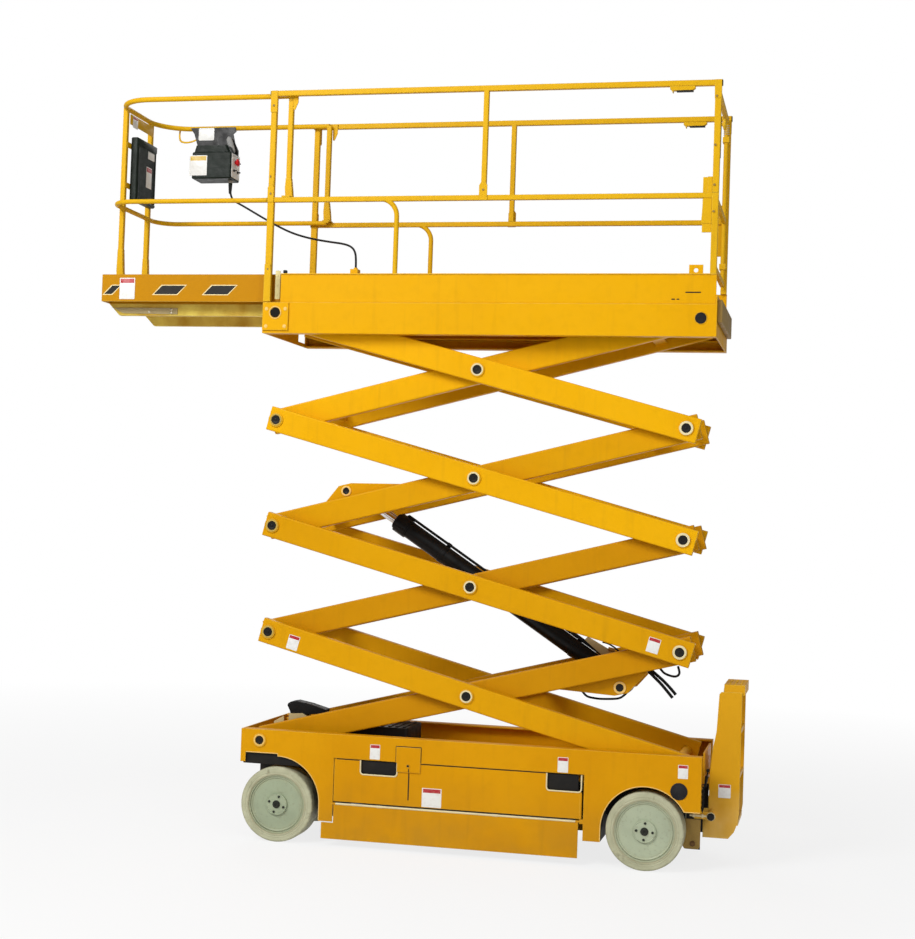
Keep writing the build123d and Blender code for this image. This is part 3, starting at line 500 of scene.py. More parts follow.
# pale rim on the head of the front pivot pin, and the black grease cap in its middle
pivot_low, pivot_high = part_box("chassis_pivot_pins")
pivot_x, _, pivot_z = (np.array(pivot_low) + pivot_high) / 2
paint(enamel("pivot_enamel", (0.74, 0.38, 0.02), (0.66, 0.32, 0.01), spots=[(pivot_x, pivot_z, 0.0215)]),
      "chassis_pivot_pins")
head = (pivot_x, pivot_high[1], pivot_z)
rim = [(0.1, 29.5), (1.4, 29.2), (2, 28.2), (2, 23.5), (0.1, 22.2)]
pair("pivot_rim", [turned(rim, head, left, hollow=True)], pale_yellow, "chassis")
cap = [(0.1, 21.2), (1, 20.5), (1, 12), (0.4, 11), (0.4, 6), (1.6, 5), (1.6, 0.8)]
pair("pivot_cap", [turned(cap, head, left)], black_metal, "chassis")
# rubber plug in the round hole behind the rear arch
plug = [(0.2, 41), (2.5, 41), (3.5, 39.5), (3.5, 35), (1.8, 33), (1.4, 12), (2.2, 10), (2.2, 1)]
pair("rear_plug", [turned(plug, (-1.413, skin_y, 0.394), left)], cable_black, "chassis")

# lips pressed round the two hand recesses of each tray door, in a pale coat that is a painted highlight, with dark
# pans behind them
bend = 0.016
lips, pans = [], []
for front, rear, top, bottom in ((0.180, -0.010, 0.441, 0.371), (-0.768, -0.940, 0.441, 0.357)):
    elbow = bottom + bend
    lip = np.concatenate((np.linspace((front, top), (front, elbow), 5)[:-1],
                          arc(front - bend, elbow, bend, 0, -90, 6),
                          np.linspace((front - bend, bottom), (rear + bend, bottom), 14)[1:-1],
                          arc(rear + bend, elbow, bend, -90, -180, 6),
                          np.linspace((rear, elbow), (rear, top), 5)[1:]))
    lips.append(carried(at_y(lip, door_y + 0.0005), 0.0038, 10))
    pans.append(rounded((front + 0.008, door_y - 0.0115, bottom - 0.008),
                        (max(rear - 0.008, -0.924), door_y - 0.0079, top - 0.001), 1, 0.008, 0.001))
pair("recess_lips", lips, cream_coat, "door_")
pair("recess_pans", pans, black_coat, "door_")
# ring, pull, slot and seam of the door's draw latch, and black strips along the door's foot and head that are painted
# shadow
ring = [(0.3, 9.5), (2, 9.2), (2.4, 8), (2.4, 6.2), (0.3, 6)]
hole_at = (-0.0665, skin_y + 0.005, 0.428)
pair("latch_ring", [turned(ring, hole_at, left, hollow=True)], chassis_yellow, "door_")
latch = [rounded((-0.0685, door_y, 0.258), (-0.0745, door_y + 0.0008, 0.393), 1, 0.0028, 0.0003),
         rounded((-0.0685, skin_y + 0.0049, 0.3968), (-0.0735, skin_y + 0.0058, 0.4140), 1, 0.0022, 0.0003),
         turned([(0.4, 5.8), (1.2, 5.5), (1.2, 1)], hole_at, left, 20)]
seam = [(-0.0025, 0.4470), (-0.0025, 0.5225), (-0.1310, 0.5225), (-0.1310, 0.4470)]
seam = np.concatenate([np.linspace(seam[k], seam[k + 1], 12)[bool(k):] for k in range(3)])
latch.append(carried(at_y(seam, skin_y + 0.0008), 0.0022, 8))
# painted shadow: a black strip for the dark gap under the door
latch.append(rounded((0.3050, door_y - 0.0072, 0.2222), (-0.9150, door_y - 0.0006, 0.2282), 0, 0.001, 0.0004))
# painted shadow: black strips under the band that overhangs the door's head
for front, rear in ((0.3050, 0.1845), (-0.1325, -0.7640)):
    latch.append(rounded((front, door_y - 0.0004, 0.4382), (rear, door_y + 0.0006, 0.4424), 0, 0.001, 0.0003))
pair("latch_slot", latch, black_metal, "door_")
# sleeve and collars on the rod that the pothole guard folds on, in a cream coat that is a painted highlight along the
# rod
rod_y, rod_z = skin_y - 0.006, 0.2150
sleeve = [carried(np.linspace((0.3050, rod_y, rod_z), (-0.9150, rod_y, rod_z), 20), 0.0058, 12)]
collar = [(0, 5.6), (1, 7.2), (30, 7.2), (31, 5.6)]
sleeve += [turned(collar, (x, rod_y, rod_z), (1, 0, 0), 16) for x in (0.060, -0.530)]
pair("guard_sleeve", sleeve, cream_coat, "guard_")
# rolled lips along the edges of the wheel arches, in a pale coat that is a painted highlight
front_axle_x, rear_axle_x = 0.6175, -1.2525
foot, arch = front_axle_x - 0.226, rear_axle_x + 0.216
front_lip = np.concatenate((np.linspace((foot, 0.127), (foot, 0.200), 8),
                            arc(front_axle_x, 0.208, 0.226, 180, 90, 20),
                            np.linspace((front_axle_x + 0.003, 0.4465), (0.789, 0.4465), 8)))
rear_lip = np.concatenate((np.linspace((arch, 0.127), (arch, 0.180), 6),
                           arc(rear_axle_x, 0.190, 0.216, 0, 150.3, 34),
                           np.linspace((-1.446, 0.2975), (-1.516, 0.2975), 6)))
pair("arch_lips", [carried(at_y(path, skin_y - 0.0008), 0.0026, 8) for path in (front_lip, rear_lip)], pale_yellow,
     "chassis")
# black splash screens over and behind the wheels, clear of the steered tyres
screens = [rounded((0.405, 0.3655, 0.388), (0.806, 0.3690, 0.4445), 1, 0.004, 0.0008),
           rounded((-1.0445, 0.2380, 0.236), (-1.4360, 0.2410, 0.3995), 1, 0.004, 0.0008),
           rounded((0.385, 0.1015, 0.236), (0.806, 0.1045, 0.3995), 1, 0.004, 0.0008)]
pair("splash_screens", screens, black_coat, "chassis")
# valve and pump cover on the floor of the tub, ribbed along its top
cover = [rounded((0.335, -0.150, 0.412), (-0.001, 0.150, 0.585), 2, 0.02, 0.006)]
cover += [rounded((x, -0.130, 0.584), (x + 0.016, 0.130, 0.590), 2, 0.006, 0.003)
          for x in np.linspace(0.02, 0.29, 8)]
piece("tub_cover", cover, black_coat, "chassis")

# ---- wheels and tyres ---------------------------------------------------------------
# Pressed steel discs sprayed pale grey-green, four screws round a hub with a slotted nut, and solid non-marking tyres
# of cream rubber with moulded steps on the shoulder.
wheel_z = 0.19


def tyre_rubber(name, centre_x):
    """Cream rubber: greyed tread and scuffed shoulder, darker and browner in the step where it meets the disc."""
    finish = Finish(name, 0.62)
    radius = off_axis(finish, centre_x, wheel_z)
    cloud = finish.fade(finish.noise(13.0, 5.0), 0.3, 0.7)
    shade = finish.blend(cloud, (0.50, 0.50, 0.335), (0.39, 0.39, 0.25))
    tread = finish.fade(radius, 0.178, 0.190)
    scuffs = finish.fade(finish.noise(48.0, 5.0), 0.42, 0.62)
    shade = finish.blend(tread * scuffs * 0.5, shade, (0.24, 0.21, 0.135))
    marks = finish.fade(finish.noise(20.0, 6.0), 0.62, 0.72) * finish.fade(radius, 0.150, 0.168)
    shade = finish.blend(marks * 0.6, shade, (0.13, 0.10, 0.05))
    step = finish.fade(radius, 0.157, 0.147)
    shade = finish.blend(step * 0.45, shade, (0.27, 0.21, 0.11))
    return finish.skin(shade, 70.0, 0.5, 0.72, 150.0, 0.0006, 4.0)


def disc_paint(name, centre_x, colour):
    """Pale grey-green paint: browner towards the rim in patches, with dark specks in clusters."""
    finish = Finish(name, 0.42)
    cloud = finish.fade(finish.noise(9.0, 4.0), 0.35, 0.7)
    shade = finish.blend(cloud, colour, tuple(c * 0.84 for c in colour))
    rim = finish.fade(off_axis(finish, centre_x, wheel_z), 0.112, 0.145)
    rim = rim * finish.fade(finish.noise(30.0, 4.0), 0.3, 0.65, 0.2, 1.0)
    shade = finish.blend(rim * 0.5, shade, (0.36, 0.34, 0.19))
    speckle = finish.fade(finish.noise(75.0, 5.0), 0.58, 0.7)
    shade = finish.blend(speckle * 0.3, shade, (0.20, 0.19, 0.13))
    return finish.skin(shade, 24.0, 0.34, 0.52, 300.0, 0.0002)


hub_dark = satin("hub_dark", (0.035, 0.038, 0.030), 0.45, 0.4)
pressed = [(-1, 139.5), (3.5, 138.5), (5, 135), (4.2, 131.5), (1, 128.5), (-1, 127.5)]
collar = [(0, 54.5), (1.5, 53.5), (1.5, 50.5), (0, 49.5)]
screw = [(0.2, 6.2), (3.5, 6.2), (4.5, 5), (4.5, 2.8), (2, 2.4), (2, 0.4)]
nut = [(0.2, 20), (3, 20), (4.2, 18), (4.2, 15.5), (4.2, 2)]
crown = [(4, 14), (9.5, 14), (11, 12.5), (11, 8), (7, 7.5), (7, 0.8)]
# The rear discs are given a lighter grey-green than the front discs: painted light.
for end, pale, first_angle in (("front", (0.345, 0.40, 0.262), 18), ("rear", (0.43, 0.485, 0.335), 4)):
    low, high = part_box(f"tyre_{end}_left")
    axle_x = (low[0] + high[0]) / 2
    cream = tyre_rubber(f"tyre_cream_{end}", axle_x)
    pale_green = disc_paint(f"disc_pale_green_{end}", axle_x, pale)
    paint(cream, f"tyre_{end}_left", f"tyre_{end}_right")
    paint(pale_green, f"wheel_{end}_left", f"wheel_{end}_right")
    body = f"wheel_{end}_"
    disc_y, hub_y, shoulder_y = 0.366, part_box(f"wheel_{end}_left")[1][1], high[1]
    face, hub, shoulder = (np.array((axle_x, y, wheel_z)) for y in (disc_y, hub_y, shoulder_y))
    # moulded beads on the tyre's shoulder, then the disc's pressed ring and the hub's collar
    steps = [turned(arc(0, 0, size, 90, -270, 13) * (1, 1.6) + (0, radius), shoulder, left, 72)
             for radius, size in ((154.5, 1.6), (166, 1.2))]
    pair(f"tyre_steps_{end}", steps, cream, body)
    pair(f"disc_rings_{end}", [turned(pressed, face, left, 72, True), turned(collar, hub, left, 48, True)],
         pale_green, body)
    # four screws round the slotted nut, with a split pin across its slots
    screws = [turned(screw, (x, hub_y, z), left, 18)
              for x, z in arc(axle_x, wheel_z, 0.040, first_angle, first_angle + 270, 4)]
    across = np.array((0.0136, 0.0, 0.0102))
    middle = hub + (0, 0.0118, 0)
    screws += [turned(nut, hub, left, 32), turned(crown, hub, left, 6),
               carried(np.linspace(middle - across, middle + across, 9), 0.0016, 8)]
    pair(f"hub_screws_{end}", screws, hub_dark, body)

# ---- axles and steering -------------------------------------------------------------
# Forged and welded steel, brushed over with black chassis paint; the battery and pump packs are moulded boxes.
pack_grey = rubber("pack_plastic", (0.035, 0.040, 0.036), 0.45)
paint(black_coat, "front_axle", "rear_axle", "steering_knuckle_left", "steering_knuckle_right", "tie_rod")
paint(pack_grey, "power_packs")
stud = [(0, 13), (6, 13), (9, 11), (9, 6), (13, 6), (14, 4)]
kingpin_top = (front_axle_x, 0.262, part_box("steering_knuckle_left")[1][2])
pair("kingpin_nut", [turned(stud, kingpin_top, (0, 0, 1), 6)], bright_zinc, "steer_")
# cell caps on the packs, seen through the recesses when a tray is open
packs_low, packs_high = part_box("power_packs")
cap = [(0.2, 14), (6, 14), (8, 12), (8, 2)]
caps = [turned(cap, (x, y, packs_high[2]), (0, 0, 1), 14)
        for x in np.linspace(packs_low[0] + 0.10, packs_high[0] - 0.10, 9) for y in (-0.22, -0.12, 0.12, 0.22)]
piece("cell_caps", caps, pack_grey, "chassis")

# ---- ladder -------------------------------------------------------------------------
# Two folded side plates with pressed treads and a folded cap, tied to the chassis tail by lugs. Beside them sit a gas
# strut, a stay with a rubber knob, a short grounding chain and a brown bracket plate.
# The ladder's pale tint towards the bottom is painted light: it brightens the lower treads, which the lamps light
# less.
ladder_yellow = enamel("ladder_enamel", (0.71, 0.36, 0.012), (0.65, 0.325, 0.012), 1.0, (0.95, 0.70, 0.27))
tan_plate = satin("worn_bracket", (0.30, 0.19, 0.05), 0.5, 0.0, (0.14, 0.095, 0.04), 0.5)
rusty_bolt = satin("rusty_bolt", (0.16, 0.085, 0.03), 0.5, 0.3, (0.09, 0.05, 0.02), 0.5)
paint(ladder_yellow, "ladder")
plate_y, lug_y, strut_y, chain_y, bracket_y = 0.170, 0.2523, 0.262, 0.350, 0.2442
stickers("ladder_sticker", -1.6165, 0.3785, 0.060, 0.066, plate_y + 0.0001, "chassis")
for side, word in ((1, "left"), (-1, "right")):
    # gas strut: a tube, its thinner rod and a ball joint at either end
    strut_low, strut_high = np.array((-1.5290, side * strut_y, 0.415)), np.array((-1.5400, side * strut_y, 0.487))
    long = 1000 * np.linalg.norm(strut_high - strut_low)
    tube = 0.6 * long
    strut = [(0, 5), (12, 6.2), (16, 8), (tube, 8), (tube + 3, 6), (tube + 3, 4), (long - 8, 4), (long - 4, 6),
             (long, 5)]
    strut_shells = [turned(strut, strut_low, strut_high - strut_low, 24)]
    strut_shells += [turned([(-8, 7), (-6, 8.5), (6, 8.5), (8, 7)], at, (0, side, 0), 20)
                     for at in (strut_low, strut_high)]
    piece(f"gas_strut_{word}", strut_shells, black_metal, "chassis")
    # chain of oval links, each turned a quarter from the one above
    links = []
    for k in range(10):
        t = np.linspace(0.0, 2 * np.pi, 17)
        oval = np.outer(0.0052 * np.cos(t), (0, 1, 0) if k % 2 else (1, 0, 0))
        oval += np.outer(0.0098 * np.sin(t), (0, 0, 1))
        link = carried(oval + (-1.5255, side * chain_y, 0.424 - 0.0130 * k), 0.0020, 8)
        link[-1] = link[0]
        links.append(link)
    piece(f"ground_chain_{word}", links, black_metal, "chassis")
# stay bar with its collars, rubber knob and the ring that the knob sits on
stay = np.linspace((-1.458, lug_y + 0.0052, 0.2655), (-1.556, lug_y + 0.0052, 0.2655), 8)
collars = [turned([(0, 8.5), (2, 9.5), (8, 9.5), (10, 8.5)], stay[k], (-1, 0, 0), 20) for k in (1, 4)]
pair("stay_bar", [carried(stay, 0.0050, 14)] + collars, cream_coat, "chassis")
knob = [(0, 15), (3, 17), (12, 18), (18, 17), (22, 13), (23, 4)]
seat_ring = [(0.1, 21), (4, 21), (4, 8), (0.1, 8)]
knob_at = (-1.5600, lug_y + 0.0002, 0.2640)
pair("knob", [turned(knob, knob_at, left, 32)], cable_black, "chassis")
pair("knob_seat", [turned(seat_ring, knob_at, left, 32, True)], cream_coat, "chassis")
# brown bracket plate bolted over the chassis tail plate
tail = [(-1.4230, 0.246), (-1.4260, 0.114), (-1.4340, 0.1005), (-1.5000, 0.1005), (-1.5105, 0.112), (-1.5105, 0.246)]
pair("tail_bracket", [extruded(tail, bracket_y, bracket_y + 0.0038)], tan_plate, "chassis")
bolt = [(0, 15), (2, 15), (2, 10), (9, 10), (11, 8.5), (11, 1)]
pair("tail_bolt", [turned(bolt, (-1.4744, bracket_y + 0.0038, 0.1265), left, 6)], rusty_bolt, "chassis")
# grip dimples in rows on every tread and on the cap
dimple = [(-0.4, 6.2), (1, 5.2), (1.8, 3.6), (2, 1)]
treads = [(z, (-1.663, -1.637, -1.611), 0.150) for z in (0.239, 0.459, 0.679)]
treads.append((0.899, (-1.680, -1.652, -1.624), 0.142))
dimples = [turned(dimple, (x, y, z), (0, 0, 1), 8)
           for z, rows, half in treads for x in rows for y in np.linspace(-half, half, 11)]
piece("tread_dimples", dimples, ladder_yellow, "chassis")

# ---- scissor arms -------------------------------------------------------------------
# Four stages of rectangular tube, each arm bored and bossed for steel pins. The yellow is lighter on the upper
# stages;
# the inner arms get a darker copy that is painted shade; a pale ring and a blackened cap sit on the head of every
# pin.
arm_yellow = enamel("arm_enamel", (0.69, 0.335, 0.003), (0.60, 0.275, 0.002))
arm_bright = enamel("arm_enamel_upper", (0.80, 0.41, 0.003), (0.73, 0.355, 0.002))
# painted shade: a darker copy of the arm enamel for the inner arms and the lower cross beams
arm_shaded = enamel("arm_enamel_inner", (0.57, 0.255, 0.003), (0.50, 0.215, 0.002))
dull_gold = satin("dull_gold_ring", (0.50, 0.34, 0.07), 0.42, 0.0, (0.26, 0.17, 0.04), 0.4)
paint(arm_yellow, "outer_arms_1", "outer_arms_2", "cross_beams_3", "inner_arms_3", "arm_pins_1", "arm_pins_2")
paint(arm_bright, "outer_arms_3", "outer_arms_4", "arm_pins_3", "arm_pins_4", "inner_arms_4", "cross_beams_4")
paint(arm_shaded, "inner_arms_1", "inner_arms_2", "cross_beams_1", "cross_beams_2")
joints = {joint["name"]: joint for joint in frame["joints"]}
pin_front = np.array(joints["lift"]["pos_m"])
pin_cross = np.array(joints["cross_1"]["pos_m"])
rise = 2 * (pin_cross[2] - pin_front[2])
rear_x = 2 * pin_cross[0] - pin_front[0]
tilt = np.degrees(np.arctan2(rise, pin_front[0] - rear_x))
head_y = 0.316
heart = [(0.1, 23.3), (1, 22.8), (1, 13), (0.4, 11.5), (0.4, 6.5), (2.2, 6), (2.8, 4), (2.8, 0.8)]


def head_ring(at, wide=31.5):
    """Raised ring round the cap on a pin's head, `wide` millimetres in radius."""
    profile = [(0.1, wide), (1.6, wide), (2.4, wide - 1), (2.4, 24), (0.1, 23.5)]
    return turned(profile, at, left, hollow=True)


for n in (1, 2, 3, 4):
    base_z = pin_front[2] + (n - 1) * rise
    middle, rear, front = ((pin_cross[0], head_y, base_z + rise / 2), (rear_x, head_y, base_z),
                           (pin_front[0], head_y, base_z + rise))
    rings = [head_ring(middle)] + ([head_ring(rear, 34.5)] if n > 1 else [])
    pair(f"pin_rings_{n}", rings, cream_coat, f"outer_{n}")
    if n < 4:
        pair(f"pin_rings_front_{n}", [head_ring(front)], dull_gold, f"outer_{n}")
    hearts = [turned(heart, at, left, 32) for at, there in ((middle, True), (rear, n > 1), (front, n < 4)) if there]
    pair(f"pin_hearts_{n}", hearts, black_metal, f"outer_{n}")
arm_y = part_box("outer_arms_1")[1][1]
stickers("arm_sticker_front", 0.582, 1.006, 0.060, 0.074, arm_y + 0.0001, "outer_1", tilt)
stickers("arm_sticker_rear", -1.262, 1.083, 0.060, 0.074, arm_y + 0.0001, "outer_2", tilt)
# weld nub on top of the second stage's arm
nub = rounded((-0.6500, 0.2700, 1.2400), (-0.6690, 0.2900, 1.2560), 2, 0.006, 0.003)
pair("arm_nub", [nub], arm_yellow, "outer_2")

# ---- lift cylinder and its hoses ----------------------------------------------------
# One long hydraulic cylinder between the first and third stages: black tube with a pipe along it and a chromed rod.
# Short rubber hoses loop under its lower pin, and a folded rubber guard covers the hose bundle at the front.


def chromed(name):
    """Hard chrome: nearly smooth, with drifting polish and an oil film in patches."""
    finish = Finish(name, 0.12, 1.0)
    film = finish.fade(finish.noise(12.0, 4.0), 0.5, 0.75)
    finish.set("Base Color", finish.blend(film * 0.5, (0.72, 0.73, 0.74), (0.42, 0.38, 0.30)))
    finish.set("Roughness", finish.fade(finish.noise(30.0, 4.0), 0.35, 0.7, 0.08, 0.24))
    finish.relief(finish.noise(500.0, 2.0), 0.00004)
    return finish.material


def smooth_line(points, count=40):
    """A smooth line through a few points: each coordinate is a Catmull-Rom cubic between neighbours,
    p = ((2 b) + (c - a) t + (2 a - 5 b + 4 c - d) t^2 + (3 b - a - 3 c + d) t^3) / 2."""
    points = np.asarray(points, float)
    padded = np.concatenate((2 * points[:1] - points[1:2], points, 2 * points[-1:] - points[-2:-1]))
    where = np.linspace(0.0, len(points) - 1.0001, count)
    k = where.astype(int)
    t = (where - k)[:, None]
    a, b, c, d = (padded[k + step] for step in range(4))
    return (2 * b + (c - a) * t + (2 * a - 5 * b + 4 * c - d) * t ** 2 + (3 * b - a - 3 * c + d) * t ** 3) / 2


barrel_black = satin("gloss_black", (0.005, 0.005, 0.005), 0.34, 0.0, (0.018, 0.015, 0.011), 0.3)
hose_rubber = rubber("hose_rubber", (0.005, 0.005, 0.005), 0.42)
beige_plate = satin("bare_primer", (0.50, 0.40, 0.20), 0.55, 0.0, (0.26, 0.19, 0.08), 0.4)
brass = satin("brass_fitting", (0.42, 0.24, 0.06), 0.3, 0.6, (0.20, 0.12, 0.04), 0.4)
paint(barrel_black, "cylinder_barrel")
paint(chromed("hard_chrome"), "cylinder_rod")
lower_eye = np.array(joints["cylinder_tilt"]["pos_m"])
upper_eye = np.array((0.3618, 0.0, 1.7940))
slope = np.radians(32.83)
run = np.array((np.cos(slope), 0.0, np.sin(slope)))
pipe_off = 0.058 * np.array((-np.sin(slope), 0.0, np.cos(slope)))
pin_half = 0.1970
for name, eye, carrier, wide, core in (("lower", lower_eye, "inner_1", 31, 20),
                                       ("upper", upper_eye, "inner_3", 26.5, 18)):
    # pale rings and black caps on the ends of the two cross pins
    rings, caps = [], []
    for side in (1, -1):
        end = (eye[0], side * pin_half, eye[2])
        ring = [(-2.8, wide), (1, wide), (1.4, wide - 1), (1.4, core), (0.2, core), (0.2, 22.1), (-2.8, 22.1)]
        cap = [(0.1, core - 0.2), (0.8, core - 0.6), (0.8, 9), (0.3, 8), (0.3, 0.8)]
        rings.append(turned(ring, end, (0, side, 0), 40, True))
        caps.append(turned(cap, end, (0, side, 0), 32))
    piece(f"{name}_pin_rings", rings, pale_yellow, carrier)
    piece(f"{name}_pin_caps", caps, black_metal, carrier)
clamps = []
for reach in (0.30, 0.72, 1.14):
    for off, bore, count in ((0.0, 47, 40), (pipe_off, 7.5, 20)):
        clamp = [(0, bore), (1, bore + 2), (24, bore + 2), (25, bore)]
        clamps.append(turned(clamp, lower_eye + reach * run + off, run, count, True))
piece("pipe_clamps", clamps, barrel_black, "barrel")
wiper = [(0, 40), (4, 42), (10, 42), (14, 36), (14, 26), (0, 26)]
piece("rod_wiper", [turned(wiper, lower_eye + 1.4502 * run, run, 40, True)], cable_black, "barrel")
# rubber sleeve over the lower half of the cylinder's pipe
sleeve_line = lower_eye + pipe_off + np.linspace(0.135 * run, 0.760 * run, 24)
piece("pipe_sleeve", [carried(sleeve_line, 0.0105, 16)], hose_rubber, "barrel")
# hoses clipped to the first stage's inner arms: one under the cylinder's ears, one that loops back at the arm's end,
# one along the top edge, and two cables with cut ends
hoses = [
    (0.120, 0.0055, [(-0.8850, 0.8300), (-0.9150, 0.8000), (-0.9600, 0.7910), (-1.0075, 0.7905), (-1.0703, 0.7962),
                     (-1.0982, 0.8103), (-1.1207, 0.8353), (-1.1314, 0.8640)]),
    (0.150, 0.0058, [(-1.2700, 0.9800), (-1.2812, 0.9615), (-1.3036, 0.9379), (-1.3380, 0.9255), (-1.3640, 0.9257),
                     (-1.3777, 0.9419), (-1.3700, 0.9760)]),
    (0.170, 0.0070, [(-0.7000, 0.9250), (-0.7882, 0.9500), (-0.8826, 0.9733), (-0.9826, 1.0003), (-1.0300, 1.0080)]),
    (0.080, 0.0078, [(-1.2200, 0.9520), (-1.2600, 0.9200), (-1.2930, 0.8930), (-1.3290, 0.8580), (-1.3570, 0.8270)]),
    (0.097, 0.0078, [(-1.2150, 0.9420), (-1.2520, 0.9080), (-1.2830, 0.8790), (-1.3150, 0.8440), (-1.3430, 0.8120)])]
hoses = [carried(at_y(smooth_line(points, 48), y), radius, 14) for y, radius, points in hoses]
piece("arm_hoses", hoses, hose_rubber, "inner_1")
# pale valve bracket behind the arms with its brass fittings and a short black link hose
valve_plate = [(-0.8847, 1.0767), (-0.9002, 1.0940), (-1.0223, 1.0285), (-1.0250, 0.9900), (-0.9914, 0.9900)]
piece("valve_plate", [extruded(valve_plate, 0.044, 0.052)], beige_plate, "inner_1")
fitting = [(0, 8.5), (12, 8.5), (13, 11), (26, 11), (27, 7.5), (38, 7)]
fittings = [turned(fitting, (x, 0.056, z), (-0.86, 0.0, lean), 6)
            for x, z, lean in ((-1.0080, 1.0400, -0.30), (-1.0120, 1.0180, -0.15), (-1.0330, 0.9990, 0.10))]
piece("valve_fittings", fittings, brass, "inner_1")
link = [(-0.9780, 1.0700), (-1.0060, 1.0640), (-1.0420, 1.0440), (-1.0640, 1.0240), (-1.0560, 1.0080)]
piece("valve_link", [carried(at_y(smooth_line(link, 36), 0.060), 0.0042, 12)], hose_rubber, "inner_1")
# cut pale gusset on the inner arm's front end
gusset = [(0.7078, 0.5865), (0.6544, 0.6175), (0.6519, 0.5650), (0.7050, 0.5600)]
piece("front_gusset", [extruded(gusset, 0.193, 0.199)], beige_plate, "inner_1")
# folded rubber guard over the hose bundle at the arms' front end, on a pale foot
guard_shape = [(0.6581, 0.6653), (0.6540, 0.6760), (0.6395, 0.6850), (0.6110, 0.6908), (0.5365, 0.6775),
               (0.4469, 0.6535), (0.4500, 0.6340), (0.5686, 0.6200), (0.6372, 0.6200), (0.6462, 0.6432)]
piece("hose_guard", [extruded(guard_shape, 0.060, 0.140, 0.004)], hose_rubber, "inner_1")
guard_foot = [(0.6460, 0.6240), (0.5700, 0.6290), (0.5500, 0.6150), (0.5500, 0.5900), (0.6480, 0.5900)]
piece("hose_guard_foot", [extruded(guard_foot, 0.062, 0.142, 0.003)], beige_plate, "inner_1")

# ---- platform -----------------------------------------------------------------------
# Folded sheet deck frame with a straight crease, upright toe boards and a cross plate on the front pivot. The newest
# looking paint of the machine: a clean bright yellow.


def grip_plate(name, colour):
    """Deck sheet: yellow paint worn to dull steel in patches, with a raised grid of lens-shaped lugs from two
    crossed wave patterns."""
    finish = Finish(name, 0.5)
    x, y = finish.along(0), finish.along(1)
    rows = finish.maths("SINE", (x + y) * 150.0) * finish.maths("SINE", (x - y) * 150.0)
    lugs = finish.fade(rows, 0.25, 0.8)
    wear_and_highlight = finish.fade(finish.noise(6.0, 5.0), 0.45, 0.7)
    shade = finish.blend(wear_and_highlight * 0.6, colour, (0.34, 0.24, 0.09))
    finish.set("Base Color", finish.blend(lugs * wear_and_highlight * 0.5, shade, (0.45, 0.42, 0.36)))
    finish.set("Roughness", finish.fade(finish.noise(14.0), 0.3, 0.7, 0.4, 0.62))
    finish.relief(lugs, 0.0015)
    return finish.material


deck_grip = grip_plate("deck_grip", (0.72, 0.38, 0.01))
cream_strip = rubber("cream_plastic", (0.48, 0.40, 0.18), 0.4, 500.0)
platform_yellow = enamel("platform_enamel", (0.76, 0.385, 0.003), (0.71, 0.345, 0.002))
platform_z = pin_front[2] + 4 * rise
bracket_paint = enamel("bracket_enamel", (0.76, 0.385, 0.003), (0.71, 0.345, 0.002),
                       spots=[(pin_front[0], platform_z, 0.0262)])
paint(platform_yellow, "platform_frame", "toe_boards", "cable_socket")
paint(bracket_paint, "platform_pivots")
paint(black_metal, "platform_rollers")
# four screws round the front pivot on the bracket's outer face, and a pale ring round the pin's end
outer_face = 0.388
bolt = [(0, 9.5), (1, 9.5), (1.4, 8), (2.2, 7.8), (2.7, 6.2), (2.8, 3), (2.8, 0.5)]
bolts = [turned(bolt, (x, outer_face, z), left, 20)
         for x, z in ((0.7650, 2.7140), (0.6645, 2.7140), (0.7665, 2.6240), (0.6660, 2.6240))]
pair("bracket_bolts", bolts, pale_yellow, "platform")
boss = [(0, 33), (1.8, 33), (2.6, 32.2), (2.6, 28.5), (0, 28)]
pair("bracket_ring", [turned(boss, (pin_front[0], outer_face, platform_z), left, 40, True)], pale_yellow, "platform")
# rubber plug in the frame's rear hole, in a raised seat
plug_at = (-1.4509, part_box("platform_frame")[1][1] + 0.0001, 2.6797)
plug = [(0, 27.5), (2, 27.5), (2.8, 26.2), (2.8, 22.5), (1.4, 21), (1.4, 1)]
pair("frame_plug", [turned(plug, plug_at, left, 40)], cable_black, "platform")
seat = [(0, 32.5), (1.2, 32.2), (1.6, 30), (1.2, 28), (0, 27.8)]
pair("plug_seat", [turned(seat, plug_at, left, 40, True)], platform_yellow, "platform")
# pale slide strip at the toe board's front end, its rivets, and the black rubber stop beside it
board_y, strip_y = 0.3740, 0.3795
strip = [rounded((0.7265, board_y + 0.0005, 2.765), (0.7005, strip_y, 2.912), 1, 0.004, 0.001)]
rivet = [(0, 5.2), (1.2, 4.8), (2, 3), (2.2, 0.8)]
strip += [turned(rivet, (0.7135, strip_y, z), left, 16) for z in (2.790, 2.838, 2.886)]
pair("slide_strip", strip, cream_strip, "platform")
stop = rounded((0.6860, 0.366, 2.8985), (0.6660, 0.380, 2.9150), 1, 0.005, 0.002)
pair("board_stop", [stop], cable_black, "platform")
# weld run and two drain slots low on the toe board
slots = [rounded((x, board_y + 0.0001, z - 0.003), (x - long, board_y + 0.0008, z + 0.003), 1, 0.0029, 0.0002)
         for x, long, z in ((-1.372, 0.075, 2.806), (-1.305, 0.018, 2.772), (-1.330, 0.014, 2.772))]
pair("board_slots", slots, black_metal, "platform")
kick = rounded((-1.5285, -0.355, 2.6615), (-1.5515, 0.355, 2.7720), 1, 0.004, 0.002)
piece("kick_board", [kick], tan_plate, "platform")
deck_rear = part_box("platform_frame")[0][0] + 0.012
piece("deck_sheet", [rounded((deck_rear, -0.316, 2.7951), (0.310, 0.316, 2.7957), 2, 0.006, 0.0002)], deck_grip,
      "platform")

